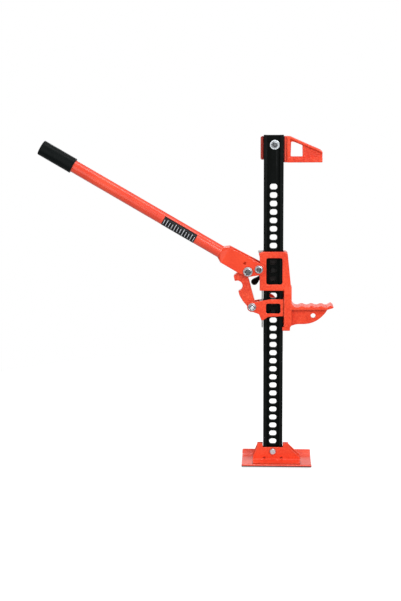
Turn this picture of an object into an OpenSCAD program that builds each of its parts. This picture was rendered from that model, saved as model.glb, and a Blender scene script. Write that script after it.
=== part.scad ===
// High-lift ratchet jack: a holed steel bar on a tilting foot, a lifting
// runner with a ribbed nose, a smaller climbing runner below it, and a long
// handle that walks the two runners along the bar through a link.
// X points to the nose, Y away from the viewer, Z up. The origin lies under
// the foot, on the axis of the bar. All lengths are in millimetres.

/* [Standard bar] */
// Height of the top of the bar above the ground
bar_top_z = 838; // [800:1:880]
// Width of the bar across its flanges
bar_w = 49.5; // [47:0.5:53]
// Depth of the bar, front to back
bar_d = 20; // [18:0.5:22]
// Width of each flange strip
flange_w = 9; // [7:0.5:9.5]
// Thickness of the web between the flanges
web_t = 8; // [6:0.5:9]
// Root and edge radius of the rolled section
bar_fillet_r = 1.2; // [0.4:0.1:2]
// Height of the foot of the bar above the ground
bar_foot_z = 12.5; // [11.5:0.5:14]
// Spacing of the climbing holes
hole_pitch = 21.15; // [20.8:0.05:21.6]
// Width of a climbing hole
hole_w = 18; // [17:0.2:19]
// Height of a climbing hole
hole_h = 14.4; // [14:0.1:15]
// Corner radius of a climbing hole
hole_corner_r = 5.8; // [5:0.1:6.6]
// Height of the lowest climbing hole
first_hole_z = 54.6; // [53.6:0.2:57]
// Plain length above the last climbing hole
plain_top = 118; // [112:1:130]

/* [Fits] */
// Clearance between a sliding casting and the bar
slide_clear = 0.6; // [0.4:0.1:0.9]
// Radial running clearance of every pivot and guide pin
pivot_clear = 0.05; // [0.03:0.01:0.09]
// Clearance between faces that turn or slide past each other
face_clear = 0.4; // [0.3:0.1:0.6]

/* [Foot] */
// Length of the foot plate, left to right
foot_w = 178; // [160:1:200]
// Depth of the foot plate, front to back
foot_d = 128; // [116:1:136]
// Thickness of the foot plate
foot_t = 4; // [3:0.5:4.5]
// Shift of the foot towards the nose
foot_shift = 9.5; // [4:0.5:14]
// Inner bend radius of the turned-up long edges
foot_curl_r = 18; // [14:1:20]
// Angle through which the front edge turns up
foot_curl_angle = 50; // [35:1:55]
// Angle through which the rear edge turns up
foot_rear_angle = 68; // [50:1:70]
// Corner radius of the foot plate
foot_corner_r = 5; // [3:0.5:10]
// Height of the foot bolt above the ground
foot_bolt_z = 31; // [30:0.5:33]
// Thickness of the two foot brackets
ear_t = 4; // [3:0.5:5]
// Height of the bracket ears above the ground
ear_top_z = 51.5; // [50:0.5:54]
// Depth of the notch that clears the bar front
ear_notch = 10; // [8:0.5:12]
// Depth below the front ear's top at which the sides start to slope
ear_shoulder = 7.5; // [6:0.5:10]
// Height above the ground at which the sloped sides of an ear end
ear_low_z = 14.5; // [12:0.5:20]
// Height by which the top of the rear ear is lower
ear_rear_drop = 4; // [3:0.5:5]
// Width of the ears at their top
ear_top_w = 80; // [72:1:88]
// Width of the brackets along the foot plate
ear_low_w = 122; // [110:1:134]
// Shift of the lower ear edge towards the nose
ear_low_shift = 9.5; // [4:0.5:12]
// Length of the bracket flange on the foot plate
ear_flange = 27; // [24:1:32]
// Bend radius of the brackets
ear_bend_r = 6; // [5:0.5:8]
// Radius of the pressed dents in the bend
dent_r = 5; // [3:0.5:6]
// Distance of a pressed dent from the bolt
dent_x = 22; // [18:1:26]

/* [Sleeves] */
// Outer depth of both runner sleeves
sleeve_d = 34; // [32:0.5:38]
// Wall of the sleeves beside the guide strip
side_wall = 4.7; // [4.2:0.1:5.5]
// Corner radius of the sleeve windows
window_r = 5; // [3:0.5:7]
// Thickness of the steel guide strip
strip_t = 3.8; // [3:0.1:4.2]
// Width of the steel guide strip, front to back
strip_w = 14; // [10:0.5:16]
// Clearance round the guide strip
strip_clear = 0.3; // [0.2:0.05:0.4]

/* [Large runner] */
// Climbing hole that the upper pin meets, counted from the lowest
upper_pin_hole = 21; // [19:1:23]
// Height of the sleeve above the upper pin
sleeve_rise = 49.4; // [46:0.2:52]
// Depth of the sleeve below the upper pin
sleeve_drop = 49.2; // [49:0.2:49.6]
// Top edge of the sleeve right of the bar axis
sleeve_top_x = 35.5; // [33:0.5:37]
// Bottom edge of the sleeve right of the bar axis
sleeve_low_x = 45.6; // [44:0.2:46]
// Width of the sleeve window
big_window_w = 40.3; // [36:0.5:42]
// Height of the sleeve window
big_window_h = 67; // [60:0.5:70]
// Shift of the sleeve window towards the nose
big_window_x = 2.6; // [0:0.1:3]
// Depth of the arm below the upper pin
arm_drop = 150.5; // [148:0.5:156]
// Left edge of the arm, right of the bar axis
arm_in_x = 26.8; // [26:0.1:28]
// Right edge of the arm, right of the bar axis
arm_out_x = 46.3; // [46:0.1:50]
// Right edge of the arm at its lower end
arm_low_x = 42.5; // [41:0.5:44]
// Height of the narrow lower end of the arm
arm_low_h = 9; // [7:0.5:11]
// Depth of the arm, front to back
arm_d = 48; // [46:0.5:52]
// Height of the sloped shoulder of the arm
shoulder_h = 14; // [10:0.5:16]
// Height of the guide foot at the end of the arm
guide_foot_h = 9; // [7:0.5:11]
// Left edge of the guide foot, right of the bar axis
guide_foot_x = 22.5; // [20:0.5:23]
// Depth of the nose crests below the upper pin
nose_drop = 86.8; // [82:0.2:92]
// Length of the nose from the arm to its tip
nose_len = 105.5; // [98:0.5:112]
// Width of the nose, front to back
nose_w = 49; // [46:0.5:56]
// Thickness of the nose plate under the wave
nose_t = 7; // [6:0.2:9]
// Height of one wave crest on the nose
wave_h = 3.4; // [2.4:0.1:4]
// Spacing of the wave crests
wave_pitch = 24.4; // [22:0.1:26]
// Extra height of the last crest
lip_h = 2.6; // [1:0.1:3.2]
// Height of the rib under the nose
rib_h = 45; // [40:0.5:50]
// Thickness of the rib
rib_t = 12; // [10:0.5:16]
// Diameter of the hole in the rib
rib_hole_d = 12.4; // [10:0.1:13]
// Distance of the rib hole from the arm
rib_hole_x = 54.5; // [50:0.5:60]
// Depth of the rib hole below the nose plate
rib_hole_drop = 17.6; // [16:0.2:20]

/* [Small runner] */
// Climbing holes between the two pins
pin_step = 5; // [5:1:5]
// Height of the small sleeve above the lower pin
small_rise = 34.9; // [34:0.1:35]
// Depth of the small sleeve below the lower pin
small_drop = 10.2; // [10:0.1:11]
// Depth of the pointed toe below the lower pin
toe_drop = 19; // [15:0.5:22]
// Wall of the small sleeve inside the arm
small_wall = 5.4; // [4:0.2:5.8]
// Width of the small window
small_window_w = 36.5; // [32:0.5:38]
// Height of the small window
small_window_h = 25.5; // [22:0.5:26]
// Height of the window centre above the lower pin
small_window_rise = 11; // [10:0.5:12]

/* [Handle] */
// Angle of the handle above the level at rest
handle_angle = 30.4; // [25:0.2:35]
// Distance of the handle pivot left of the bar axis
pivot_x = 36; // [35.6:0.1:38]
// Height of the handle pivot above the upper pin
pivot_rise = 5.6; // [4:0.2:7]
// Diameter of the handle pivot bolt
pivot_d = 10; // [8:0.5:10]
// Distance of the handle axis below its pivot
handle_drop = 12.6; // [11:0.1:13]
// Distance from the pivot to the end of the handle
handle_reach = 626; // [560:1:700]
// Outer diameter of the handle tube
tube_d = 32; // [28:0.5:33]
// Wall of the handle tube
tube_wall = 2.5; // [2:0.1:4]
// Length of the rubber grip
grip_len = 94; // [80:1:120]
// Outer diameter of the rubber grip
grip_d = 39.6; // [37:0.2:42]
// Distance from the pivot to the closed end of the socket
socket_len = 92; // [86:0.5:100]
// Height of the socket's closed end above the pivot
socket_rise = 10.8; // [10:0.2:14]
// Depth of the socket below the pivot
socket_fall = 34; // [33:0.2:36]
// Plate thickness of the socket
socket_t = 3.6; // [3:0.1:4.5]
// Length of the flare between tube and socket
flare_len = 12; // [8:0.5:16]
// Distance from the pivot to the lower bend in the socket plates
neck_x = 41.6; // [38:0.2:46]
// Distance from the pivot to the small hole in the socket plates
clip_hole_x = 38; // [36:0.2:44]
// Depth of the small hole below the line from the pivot
clip_hole_drop = 4.8; // [2:0.2:6]
// Diameter of the small hole in the socket plates
clip_hole_d = 7; // [5:0.5:8]

/* [Link] */
// Crank radius between the handle pivot and the link bolt
crank_r = 28.2; // [27:0.1:29.5]
// Angle of the crank below the level at rest
crank_angle = 12; // [9:0.5:14]
// Diameter of the upper link bolt
link_top_d = 12; // [10:0.5:12]
// Diameter of the lower link bolt
link_low_d = 10; // [8:0.5:10]
// Distance of the lower link bolt left of the bar axis
link_low_x = 53.2; // [52:0.1:55]
// Height of the lower link bolt above the lower pin
link_low_rise = 14.9; // [13:0.1:17]
// Thickness of the link casting
link_t = 18; // [14:0.5:22]
// Width of the link over its two bosses
link_boss_w = 24.6; // [23:0.2:25]
// Radius of the lower boss of the link
link_boss_r = 12; // [10.5:0.25:12.5]
// Radius of the upper boss of the link, round its long eye
link_eye_r = 13; // [12.6:0.1:13.4]

/* [Top clamp] */
// Depth of the clamp top below the bar top
clamp_top_drop = 3; // [1:0.5:5]
// Height of the clamp at its left side
clamp_left_h = 58; // [50:1:64]
// Height of the clamp at the jaw
clamp_h = 64.8; // [58:0.2:70]
// Reach of the jaw from the bar axis
jaw_reach = 120.5; // [110:0.5:130]
// Wall of the clamp beside the bar
clamp_wall = 8; // [6:0.2:8.4]
// Depth of the clamp behind the bar
clamp_back_t = 7.5; // [6:0.5:9]
// Distance that the clamp walls stay behind the bar front
clamp_setback = 7; // [3:0.5:8]
// Thickness of the jaw web
jaw_web_t = 15; // [11:0.5:18]
// Width of the jaw rims, front to back
jaw_d = 28; // [22:0.5:32]
// Thickness of the sloped upper rim
rim_t = 6.5; // [5:0.5:8]
// Thickness of the lower rim
jaw_t = 12.5; // [9:0.5:13]
// Depth of the top bolt below the bar top
top_bolt_drop = 24; // [20:0.5:28]
// Distance of the top bolt right of the bar axis
top_bolt_x = 2.6; // [0:0.2:2.8]

/* [Climbing pins] */
// Diameter of a climbing pin
pin_d = 13; // [11:0.2:13.4]
// Diameter of the thin rear shank of a climbing pin
shank_d = 8; // [6:0.5:9]
// Travel of a climbing pin into the bar
pin_travel = 10.4; // [10:0.1:11]
// Gap between a drawn pin and the web of the bar
pin_gap = 1.2; // [1:0.1:1.6]
// Outer diameter of the guide boss of a pin
pin_boss_d = 20; // [18:0.5:20.2]
// Length of the guide boss behind the sleeve
pin_boss_len = 3; // [2:0.5:4]
// Diameter of the cross pin that carries the spring seat
cross_d = 4; // [3:0.5:5]
// Length of the cross pin
cross_len = 19; // [16:0.5:20]
// Diameter of the spring seat washer
seat_d = 18; // [17:0.5:20]
// Thickness of the spring seat washer
seat_t = 2; // [1.5:0.5:3]
// Length of the spring with the pin drawn
spring_len = 15; // [14:0.5:18]
// Diameter of the spring wire
spring_wire = 1.8; // [1.2:0.1:2]
// Mean diameter of the spring
spring_d = 13; // [12:0.5:14]
// Number of turns of the spring
spring_turns = 4; // [3:1:5]
// Thickness of the spring yoke
yoke_t = 4; // [3:0.5:5]
// Height of the spring yoke
yoke_h = 16; // [14:0.5:18]
// Clear width inside the spring yoke
yoke_in_w = 26; // [24:0.5:28]
// Height of the horn of the lower yoke above its pin
horn_rise = 41; // [36:0.5:44]

/* [Latch] */
// Distance of the latch pivot left of the bar axis
latch_x = 26; // [25:0.5:27]
// Depth of the latch pivot below the upper pin
latch_drop = 14.6; // [13:0.2:16]
// Length of the latch lever to the centre of its knob
latch_len = 30; // [27:0.5:33]
// Angle of the latch lever below the level at rest
latch_angle = 42.6; // [38:0.2:46]
// Distance of the lever behind the sleeve face
latch_off = 20; // [19:0.5:21]
// Thickness of the latch lever
latch_t = 4.5; // [3.5:0.5:5]
// Width of the latch lever
latch_w = 8; // [7:0.5:9]
// Diameter of the latch knob
knob_d = 17; // [15:0.5:18]
// Diameter of the latch pivot stud
stud_d = 8; // [6:0.5:8]

/* [Fasteners] */
// Washer thickness
washer_t = 2; // [1.5:0.1:2.5]
// Bolt head height as a share of the bolt diameter
head_share = 0.62; // [0.55:0.01:0.68]
// Nut height as a share of the bolt diameter
nut_share = 0.8; // [0.7:0.01:0.9]
// Width across flats as a share of the bolt diameter
flats_share = 1.55; // [1.45:0.01:1.7]
// Diameter of the foot bolt
foot_bolt_d = 10; // [8:0.5:10]
// Diameter of the top bolt
top_bolt_d = 9; // [8:0.5:10]

/* [Hidden] */
$fn = 48;

// Overrun of every cut past the face that it opens.
cut = 1;
// Radius of small cast edges, and of the gentler cast corners.
edge_r = 1.5;
cast_r = 4;

// Places that several pieces share.
half_bar_w = bar_w / 2;
half_bar_d = bar_d / 2;
guide_x = half_bar_w + slide_clear;
guide_y = half_bar_d + slide_clear;
strip_in_x = guide_x + strip_clear;
strip_out_x = strip_in_x + strip_t;
cavity_x = strip_out_x + strip_clear;
sleeve_left = cavity_x + side_wall;
half_sleeve_d = sleeve_d / 2;
upper_pin_z = first_hole_z + upper_pin_hole * hole_pitch;
lower_pin_z = upper_pin_z - pin_step * hole_pitch;
hole_count = floor((bar_top_z - plain_top - first_hole_z) / hole_pitch) + 1;
pivot_z = upper_pin_z + pivot_rise;
link_top_x = pivot_x + crank_r * cos(crank_angle);
link_top_z = pivot_z - crank_r * sin(crank_angle);
link_low_z = lower_pin_z + link_low_rise;
link_len = norm([link_top_x - link_low_x, link_top_z - link_low_z]);
socket_in = half_sleeve_d + face_clear;
socket_out = socket_in + socket_t;
foot_ear_in = half_bar_d + slide_clear;

// A length in every direction that outruns any piece of the jack.
far = bar_top_z;

function unit(v) = v / norm(v);

// Arc that rounds corner b between neighbours a and c with radius b[2].
function rounded_corner(a, b, c, steps) =
    b[2] == 0 ? [[b[0], b[1]]] :
    let (p = [b[0], b[1]],
         u = unit([a[0], a[1]] - p),
         v = unit([c[0], c[1]] - p),
         half = acos(u * v) / 2,
         centre = p + unit(u + v) * b[2] / sin(half),
         from = p + u * b[2] / tan(half) - centre,
         to = p + v * b[2] / tan(half) - centre,
         a0 = atan2(from[1], from[0]),
         turn = atan2(from[0] * to[1] - from[1] * to[0], from * to))
    [for (i = [0:steps]) centre + b[2] * [cos(a0 + turn * i / steps), sin(a0 + turn * i / steps)]];

// Closed outline from points [x, y, corner radius].
function rounded_outline(p, steps = 6) =
    [for (i = [0:len(p) - 1])
        each rounded_corner(p[(i + len(p) - 1) % len(p)], p[i], p[(i + 1) % len(p)], steps)];

// One round of corner cutting on an open line, ends kept.
function cut_corners(p) = [
    p[0],
    for (i = [0:len(p) - 2]) each [p[i] * 3 / 4 + p[i + 1] / 4, p[i] / 4 + p[i + 1] * 3 / 4],
    p[len(p) - 1]];

// Points of a table of shares, scaled by two sizes.
function scaled(shares, w, h) = [for (s = shares) [s[0] * w, s[1] * h]];

// A flat drawing in X and Z, given depth t about Y = 0.
module along_y(t) {
    rotate([90, 0, 0])
        linear_extrude(t, center = true)
            children();
}

// A flat drawing in X and Z, extruded from y0 to y1.
module between_y(y0, y1) {
    translate([0, (y0 + y1) / 2, 0])
        along_y(y1 - y0)
            children();
}

// A flat drawing in Y and Z, extruded from x0 to x1.
module between_x(x0, x1) {
    translate([x0, 0, 0])
        rotate([90, 0, 90])
            linear_extrude(x1 - x0)
                children();
}

module box(x0, x1, y0, y1, z0, z1) {
    translate([x0, y0, z0])
        cube([x1 - x0, y1 - y0, z1 - z0]);
}

// Cylinder along Y between two depths.
module rod_y(r, y0, y1) {
    translate([0, y0, 0])
        rotate([-90, 0, 0])
            cylinder(r = r, h = y1 - y0);
}

module ring_y(r, bore_r, y0, y1) {
    difference() {
        rod_y(r, y0, y1);
        rod_y(bore_r, y0 - cut, y1 + cut);
    }
}

// Hexagonal head, nearer face at y0.
module hex_y(d, y0, y1) {
    translate([0, y0, 0])
        rotate([-90, 0, 0])
            cylinder(d = d * flats_share / cos(180 / 6), h = y1 - y0, $fn = 6);
}

// Bolt along Y: head behind y1, thread end at y0.
module bolt_y(d, y0, y1) {
    rod_y(d / 2, y0, y1);
    difference() {
        hex_y(d, y1, y1 + d * head_share);
        translate([0, y1 + d * head_share, 0])
            rotate([-90, 0, 0])
                chamfer_ring(d * flats_share / 2, d * head_share / 3);
    }
}

// Ring that cuts the corners of a hexagon down to a cone, axis Z, face at 0.
// The cone starts just inside the flats.
module chamfer_ring(r, h) {
    inner = r * 19 / 20;
    rotate_extrude()
        polygon([[inner, cut], [inner, 0], [r + 3 * h, -h * 3 / 2], [r + 3 * h, cut]]);
}

// Nut in front of the face at y1, with a round collar round the thread end.
module nut_y(d, y1) {
    h = d * nut_share;
    r = d * flats_share / 2;
    difference() {
        union() {
            difference() {
                hex_y(d, y1 - h * 3 / 4, y1);
                translate([0, y1 - h * 3 / 4, 0])
                    rotate([90, 0, 0])
                        chamfer_ring(r, h / 5);
            }
            rod_y(r * 4 / 5, y1 - h, y1 - h * 3 / 4);
        }
        rod_y(d / 2, y1 - h - cut, y1 + cut);
    }
}

// Foot: a plate with two bent brackets that hold the bar.

// Section of the foot plate in Y and Z: flat, with both long edges curled up.
function foot_side(sign, angle) =
    let (flat = foot_d / 2 - (foot_curl_r + foot_t) * sin(angle), steps = 8)
    concat(
        [for (i = [0:steps])
            let (a = angle * i / steps)
            [sign * (flat + (foot_curl_r + foot_t) * sin(a)),
             (foot_curl_r + foot_t) * (1 - cos(a))]],
        [for (i = [steps:-1:0])
            let (a = angle * i / steps)
            [sign * (flat + foot_curl_r * sin(a)),
             foot_curl_r + foot_t - foot_curl_r * cos(a)]]);

function reversed(p) = [for (i = [len(p) - 1:-1:0]) p[i]];

module foot_plate() {
    x0 = foot_shift - foot_w / 2;
    x1 = foot_shift + foot_w / 2;
    y1 = foot_d / 2;
    color("orangered")
        intersection() {
            between_x(x0, x1)
                polygon(concat(
                    foot_side(1, foot_rear_angle),
                    reversed(foot_side(-1, foot_curl_angle))));
            linear_extrude(far)
                polygon(rounded_outline([
                    [x0, -y1, foot_corner_r], [x1, -y1, foot_corner_r],
                    [x1, y1, foot_corner_r], [x0, y1, foot_corner_r]]));
        }
}

// Bracket in front of the bar: notched ear, bend and flange.
module foot_bracket(drop) {
    ear_out = foot_ear_in + ear_t;
    top = ear_top_z - drop;
    shoulder = ear_top_z - ear_shoulder;
    flange_y = ear_out + ear_flange;
    z0 = foot_t;
    x_low = ear_low_shift - ear_low_w / 2;
    x_far = ear_low_shift + ear_low_w / 2;
    notch_w = half_bar_w + slide_clear + face_clear;
    difference() {
        intersection() {
            between_x(x_low, x_far)
                polygon(rounded_outline([
                    [-foot_ear_in, top, 0],
                    [-foot_ear_in, z0, ear_bend_r],
                    [-flange_y, z0, 0],
                    [-flange_y, z0 + ear_t, 0],
                    [-ear_out, z0 + ear_t, ear_bend_r - ear_t / 2],
                    [-ear_out, top, 0]]));
            between_y(-flange_y, 0)
                polygon([
                    [-ear_top_w / 2, top],
                    [-ear_top_w / 2, shoulder],
                    [x_low, ear_low_z],
                    [x_low, z0],
                    [x_far, z0],
                    [x_far, ear_low_z],
                    [ear_top_w / 2, shoulder],
                    [ear_top_w / 2, top]]);
        }
        box(-notch_w, notch_w, -far, 0, top - ear_notch, top + cut);
        translate([0, 0, foot_bolt_z])
            rod_y(foot_bolt_d / 2, -ear_out - cut, 0);
        for (side = [-1, 1])
            translate([side * dent_x, -ear_out - dent_r / 2, z0 + ear_t + dent_r])
                sphere(r = dent_r);
    }
}

module foot_bracket_front() {
    color("orangered")
        foot_bracket(0);
}

module foot_bracket_rear() {
    color("orangered")
        mirror([0, 1, 0])
            foot_bracket(ear_rear_drop);
}

module foot_bolt() {
    ear_out = foot_ear_in + ear_t;
    color("silver")
        translate([0, 0, foot_bolt_z])
            mirror([0, 1, 0])
                bolt_y(foot_bolt_d, -ear_out - foot_bolt_d, ear_out);
}

module foot_nut() {
    color("silver")
        translate([0, 0, foot_bolt_z])
            mirror([0, 1, 0])
                nut_y(foot_bolt_d, -foot_ear_in - ear_t);
}

// Standard bar, a rolled section with a row of climbing holes.

module climbing_hole() {
    r = hole_corner_r;
    union() {
        square([hole_w - 2 * r, hole_h], center = true);
        square([hole_w, hole_h - 2 * r], center = true);
        for (side = [-1, 1], end = [-1, 1])
            translate([side * (hole_w / 2 - r), end * (hole_h / 2 - r)])
                circle(r = r);
    }
}

module at_top_bolt() {
    translate([top_bolt_x, 0, bar_top_z - top_bolt_drop])
        children();
}

module standard_bar() {
    w = half_bar_w;
    d = half_bar_d;
    inner = w - flange_w;
    t = web_t / 2;
    r = bar_fillet_r;
    color("dimgray")
        difference() {
            translate([0, 0, bar_foot_z])
                linear_extrude(bar_top_z - bar_foot_z)
                    polygon(rounded_outline([
                        [-w, -d, r], [-inner, -d, r], [-inner, -t, r],
                        [inner, -t, r], [inner, -d, r], [w, -d, r],
                        [w, d, r], [inner, d, r], [inner, t, r],
                        [-inner, t, r], [-inner, d, r], [-w, d, r]], 3));
            for (i = [0:hole_count - 1])
                translate([0, 0, first_hole_z + i * hole_pitch])
                    along_y(bar_d)
                        climbing_hole();
            translate([0, 0, foot_bolt_z])
                rod_y(foot_bolt_d / 2 + pivot_clear, -bar_d, bar_d);
            at_top_bolt()
                rod_y(top_bolt_d / 2, -bar_d, bar_d);
        }
}

// Top clamp: a cast jaw that wraps the top of the bar.

// Outline of the jaw and its window, as shares of its length and height,
// measured from the right face of the bar and from the jaw face.
jaw_top_shares = [[0, 1], [0.16, 1], [0.53, 0.753], [0.94, 0.49], [1, 0.41]];
jaw_window_shares = [[0.18, 0.225], [0.487, 0.225], [0.48, 0.65], [0.262, 0.782], [0.19, 0.79]];
// Corner radii of the window as shares of the edge radius.
jaw_window_r_shares = [1.4, 1.2, 1.2, 1.6, 1.2];

module jaw_outline() {
    w = jaw_reach - half_bar_w;
    top = scaled(jaw_top_shares, w, clamp_h);
    polygon(rounded_outline([
        [top[0][0], top[0][1], 0],
        [top[1][0], top[1][1], 2 * cast_r],
        [top[2][0], top[2][1], 0],
        [top[3][0], top[3][1], cast_r],
        [top[4][0], top[4][1], cast_r],
        [w, 0, edge_r],
        [0, 0, 0]]));
}

module jaw_window() {
    w = jaw_reach - half_bar_w;
    p = scaled(jaw_window_shares, w, clamp_h);
    polygon(rounded_outline([for (i = [0:len(p) - 1])
        [p[i][0], p[i][1], edge_r * jaw_window_r_shares[i]]]));
}

// Rim that follows the sloped top of the jaw.
module jaw_rim() {
    w = jaw_reach - half_bar_w;
    top = scaled(jaw_top_shares, w, clamp_h);
    difference() {
        jaw_outline();
        translate([0, -rim_t])
            polygon(concat([for (i = [1:4]) top[i]],
                [[w, -clamp_h], [top[1][0], -clamp_h]]));
        translate([-cut, -clamp_h])
            square([top[1][0] + cut, 2 * clamp_h + cut]);
    }
}

module top_clamp() {
    top_z = bar_top_z - clamp_top_drop;
    jaw_z = top_z - clamp_h;
    low_z = top_z - clamp_left_h;
    in_x = half_bar_w;
    out_x = in_x + clamp_wall;
    y0 = -half_bar_d + clamp_setback;
    y1 = half_bar_d + clamp_back_t;
    mid_y = (half_bar_d + clamp_back_t - jaw_d / 2);
    color("orangered")
        difference() {
            union() {
                // Back plate and the two walls that hold the bar.
                between_y(half_bar_d, y1)
                    polygon(rounded_outline([
                        [-out_x, low_z, cast_r], [0, low_z, 0], [in_x, jaw_z, 0],
                        [out_x, jaw_z, 0], [out_x, top_z, 0], [-out_x, top_z, cast_r]]));
                between_y(y0, half_bar_d)
                    polygon(rounded_outline([
                        [-out_x, low_z, cast_r], [-in_x, low_z, 0],
                        [-in_x, top_z, 0], [-out_x, top_z, cast_r]]));
                box(in_x, out_x, y0, half_bar_d, jaw_z, top_z);
                // Jaw: web, sloped rim and lower rim.
                translate([in_x, mid_y, jaw_z]) {
                    along_y(jaw_web_t)
                        jaw_outline();
                    along_y(jaw_d)
                        jaw_rim();
                    // Lower rim and a post beside the wall, as wide as the sloped rim.
                    along_y(jaw_d)
                        intersection() {
                            jaw_outline();
                            translate([clamp_wall, 0]) {
                                square([jaw_reach, jaw_t]);
                                square([jaw_window_shares[0][0] * (jaw_reach - in_x)
                                    - edge_r - clamp_wall, clamp_h]);
                            }
                        }
                }
                // Boss that reaches into the bar to its web.
                translate([0, 0, bar_top_z - top_bolt_drop])
                    rod_y(half_bar_w - flange_w - 2 * bar_fillet_r, web_t / 2, half_bar_d + cut);
            }
            translate([in_x, mid_y, jaw_z])
                along_y(far)
                    jaw_window();
            at_top_bolt()
                rod_y(top_bolt_d / 2, 0, far);
        }
}

top_washer_r = top_bolt_d * 4 / 3;

module top_bolt() {
    y1 = half_bar_d + clamp_back_t + washer_t;
    color("silver")
        at_top_bolt()
            bolt_y(top_bolt_d, -web_t / 2 - washer_t - top_bolt_d, y1);
}

module top_nut() {
    color("silver")
        at_top_bolt()
            nut_y(top_bolt_d, -web_t / 2 - washer_t);
}

module top_washers() {
    y1 = half_bar_d + clamp_back_t;
    color("silver")
        at_top_bolt() {
            ring_y(top_washer_r, top_bolt_d / 2, -web_t / 2 - washer_t, -web_t / 2);
            ring_y(top_washer_r, top_bolt_d / 2, y1, y1 + washer_t);
        }
}

// Climbing pins, the same unit on both runners.

pin_tip_y = web_t / 2 + pin_gap;
boss_y = half_sleeve_d + pin_boss_len;
cross_y = boss_y + pin_travel + slide_clear + cross_d / 2;
seat_y = cross_y + cross_d / 2;
spring_y = seat_y + seat_t;
yoke_y = spring_y + spring_len;
shank_end_y = yoke_y + yoke_t + pin_travel + cut;

module pin_boss() {
    rod_y(pin_boss_d / 2, guide_y, boss_y);
}

module pin_bore() {
    rod_y(pin_d / 2 + pivot_clear, half_bar_d, boss_y + cut);
}

module climbing_pin() {
    color("silver")
        difference() {
            union() {
                rod_y(pin_d / 2, pin_tip_y, spring_y);
                rod_y(shank_d / 2, spring_y - seat_t, shank_end_y);
            }
            translate([0, cross_y, 0])
                rotate([0, 90, 0])
                    cylinder(d = cross_d, h = 2 * cross_len, center = true);
            // Shoulder on which the seat washer sits.
            ring_y(pin_d, shank_d / 2, seat_y, spring_y + cut);
        }
}

module cross_pin() {
    color("gray")
        translate([0, cross_y, 0])
            rotate([0, 90, 0])
                cylinder(d = cross_d, h = cross_len, center = true);
}

module spring_seat() {
    color("silver")
        ring_y(seat_d / 2, shank_d / 2, seat_y, spring_y);
}

// Spring: one unbroken tube of 8 rings a turn and 6 sides.
spring_rings = 8 * spring_turns;
spring_room = spring_len - spring_wire;

function spring_point(i) =
    let (a = 360 * i / 8)
    [spring_d / 2 * cos(a), spring_y + spring_wire / 2 + spring_room * i / spring_rings,
     spring_d / 2 * sin(a)];

function spring_ring(i) =
    let (a = 360 * i / 8, r = spring_wire / 2)
    [for (k = [0:5])
        spring_point(i) + r * [cos(60 * k) * cos(a), sin(60 * k), cos(60 * k) * sin(a)]];

// Least gap between one turn and the next, on the centre points.
spring_gap = min([for (i = [0:7]) for (j = [i + 6:i + 10])
    norm(spring_point(i) - spring_point(j))]) - spring_wire;
echo(spring_gap = spring_gap);

module spring() {
    n = spring_rings;
    color("gray")
        polyhedron(
            points = [for (i = [0:n]) each spring_ring(i)],
            faces = concat(
                [for (i = [0:n - 1]) for (k = [0:5]) each [
                    [6 * i + k, 6 * i + (k + 1) % 6, 6 * i + 6 + k],
                    [6 * i + (k + 1) % 6, 6 * i + 6 + (k + 1) % 6, 6 * i + 6 + k]]],
                [for (k = [1:4]) [0, k + 1, k]],
                [for (k = [1:4]) [6 * n, 6 * n + k, 6 * n + k + 1]]));
}

// Bent strap behind the sleeve that carries the rear of the pin.
module yoke() {
    in_x = yoke_in_w / 2;
    out_x = in_x + yoke_t;
    y1 = yoke_y + yoke_t;
    color("orangered")
        difference() {
            translate([0, 0, -yoke_h / 2])
                linear_extrude(yoke_h)
                    polygon(rounded_outline([
                        [-out_x, half_sleeve_d, 0], [-in_x, half_sleeve_d, 0],
                        [-in_x, yoke_y, yoke_t / 2], [in_x, yoke_y, yoke_t / 2],
                        [in_x, half_sleeve_d, 0], [out_x, half_sleeve_d, 0],
                        [out_x, y1, yoke_t * 3 / 2], [-out_x, y1, yoke_t * 3 / 2]]));
            rod_y(shank_d / 2 + pivot_clear, yoke_y - cut, y1 + cut);
        }
}

module at_upper_pin() {
    translate([0, 0, upper_pin_z])
        children();
}

module at_lower_pin() {
    translate([0, 0, lower_pin_z])
        children();
}

module upper_yoke() { at_upper_pin() yoke(); }
module upper_spring() { at_upper_pin() spring(); }
module upper_climbing_pin() { at_upper_pin() climbing_pin(); }
module upper_cross_pin() { at_upper_pin() cross_pin(); }
module upper_spring_seat() { at_upper_pin() spring_seat(); }
module lower_yoke() {
    half_w = yoke_in_w / 2;
    at_lower_pin() {
        yoke();
        // Horn that stands up behind the bar, sloped towards the nose.
        color("orangered")
            between_y(yoke_y, yoke_y + yoke_t)
                polygon(rounded_outline([
                    [-half_w, yoke_h / 2 - cut, 0],
                    [half_w, yoke_h / 2 - cut, 0],
                    [half_w, horn_rise / 2, cast_r],
                    [0, horn_rise - half_w / 2, 2 * cast_r],
                    [-half_w, horn_rise, cast_r]]));
    }
}
module lower_spring() { at_lower_pin() spring(); }
module lower_climbing_pin() { at_lower_pin() climbing_pin(); }
module lower_cross_pin() { at_lower_pin() cross_pin(); }
module lower_spring_seat() { at_lower_pin() spring_seat(); }

// Large runner: sleeve, arm, nose and rib in one casting.

// Space for the bar and the guide strip, between two heights.
module guide_space(z0, z1) {
    half_strip = strip_w / 2 + strip_clear;
    box(-guide_x, guide_x, -guide_y, guide_y, z0, z1);
    box(-cavity_x, 0, -half_strip, half_strip, z0, z1);
}

tab_z = sleeve_rise - strip_t * 2 / 3;
lug_r = pivot_d * 1.02;
horn_out_x = sleeve_left + 3 * edge_r * 2 / 3;

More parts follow.
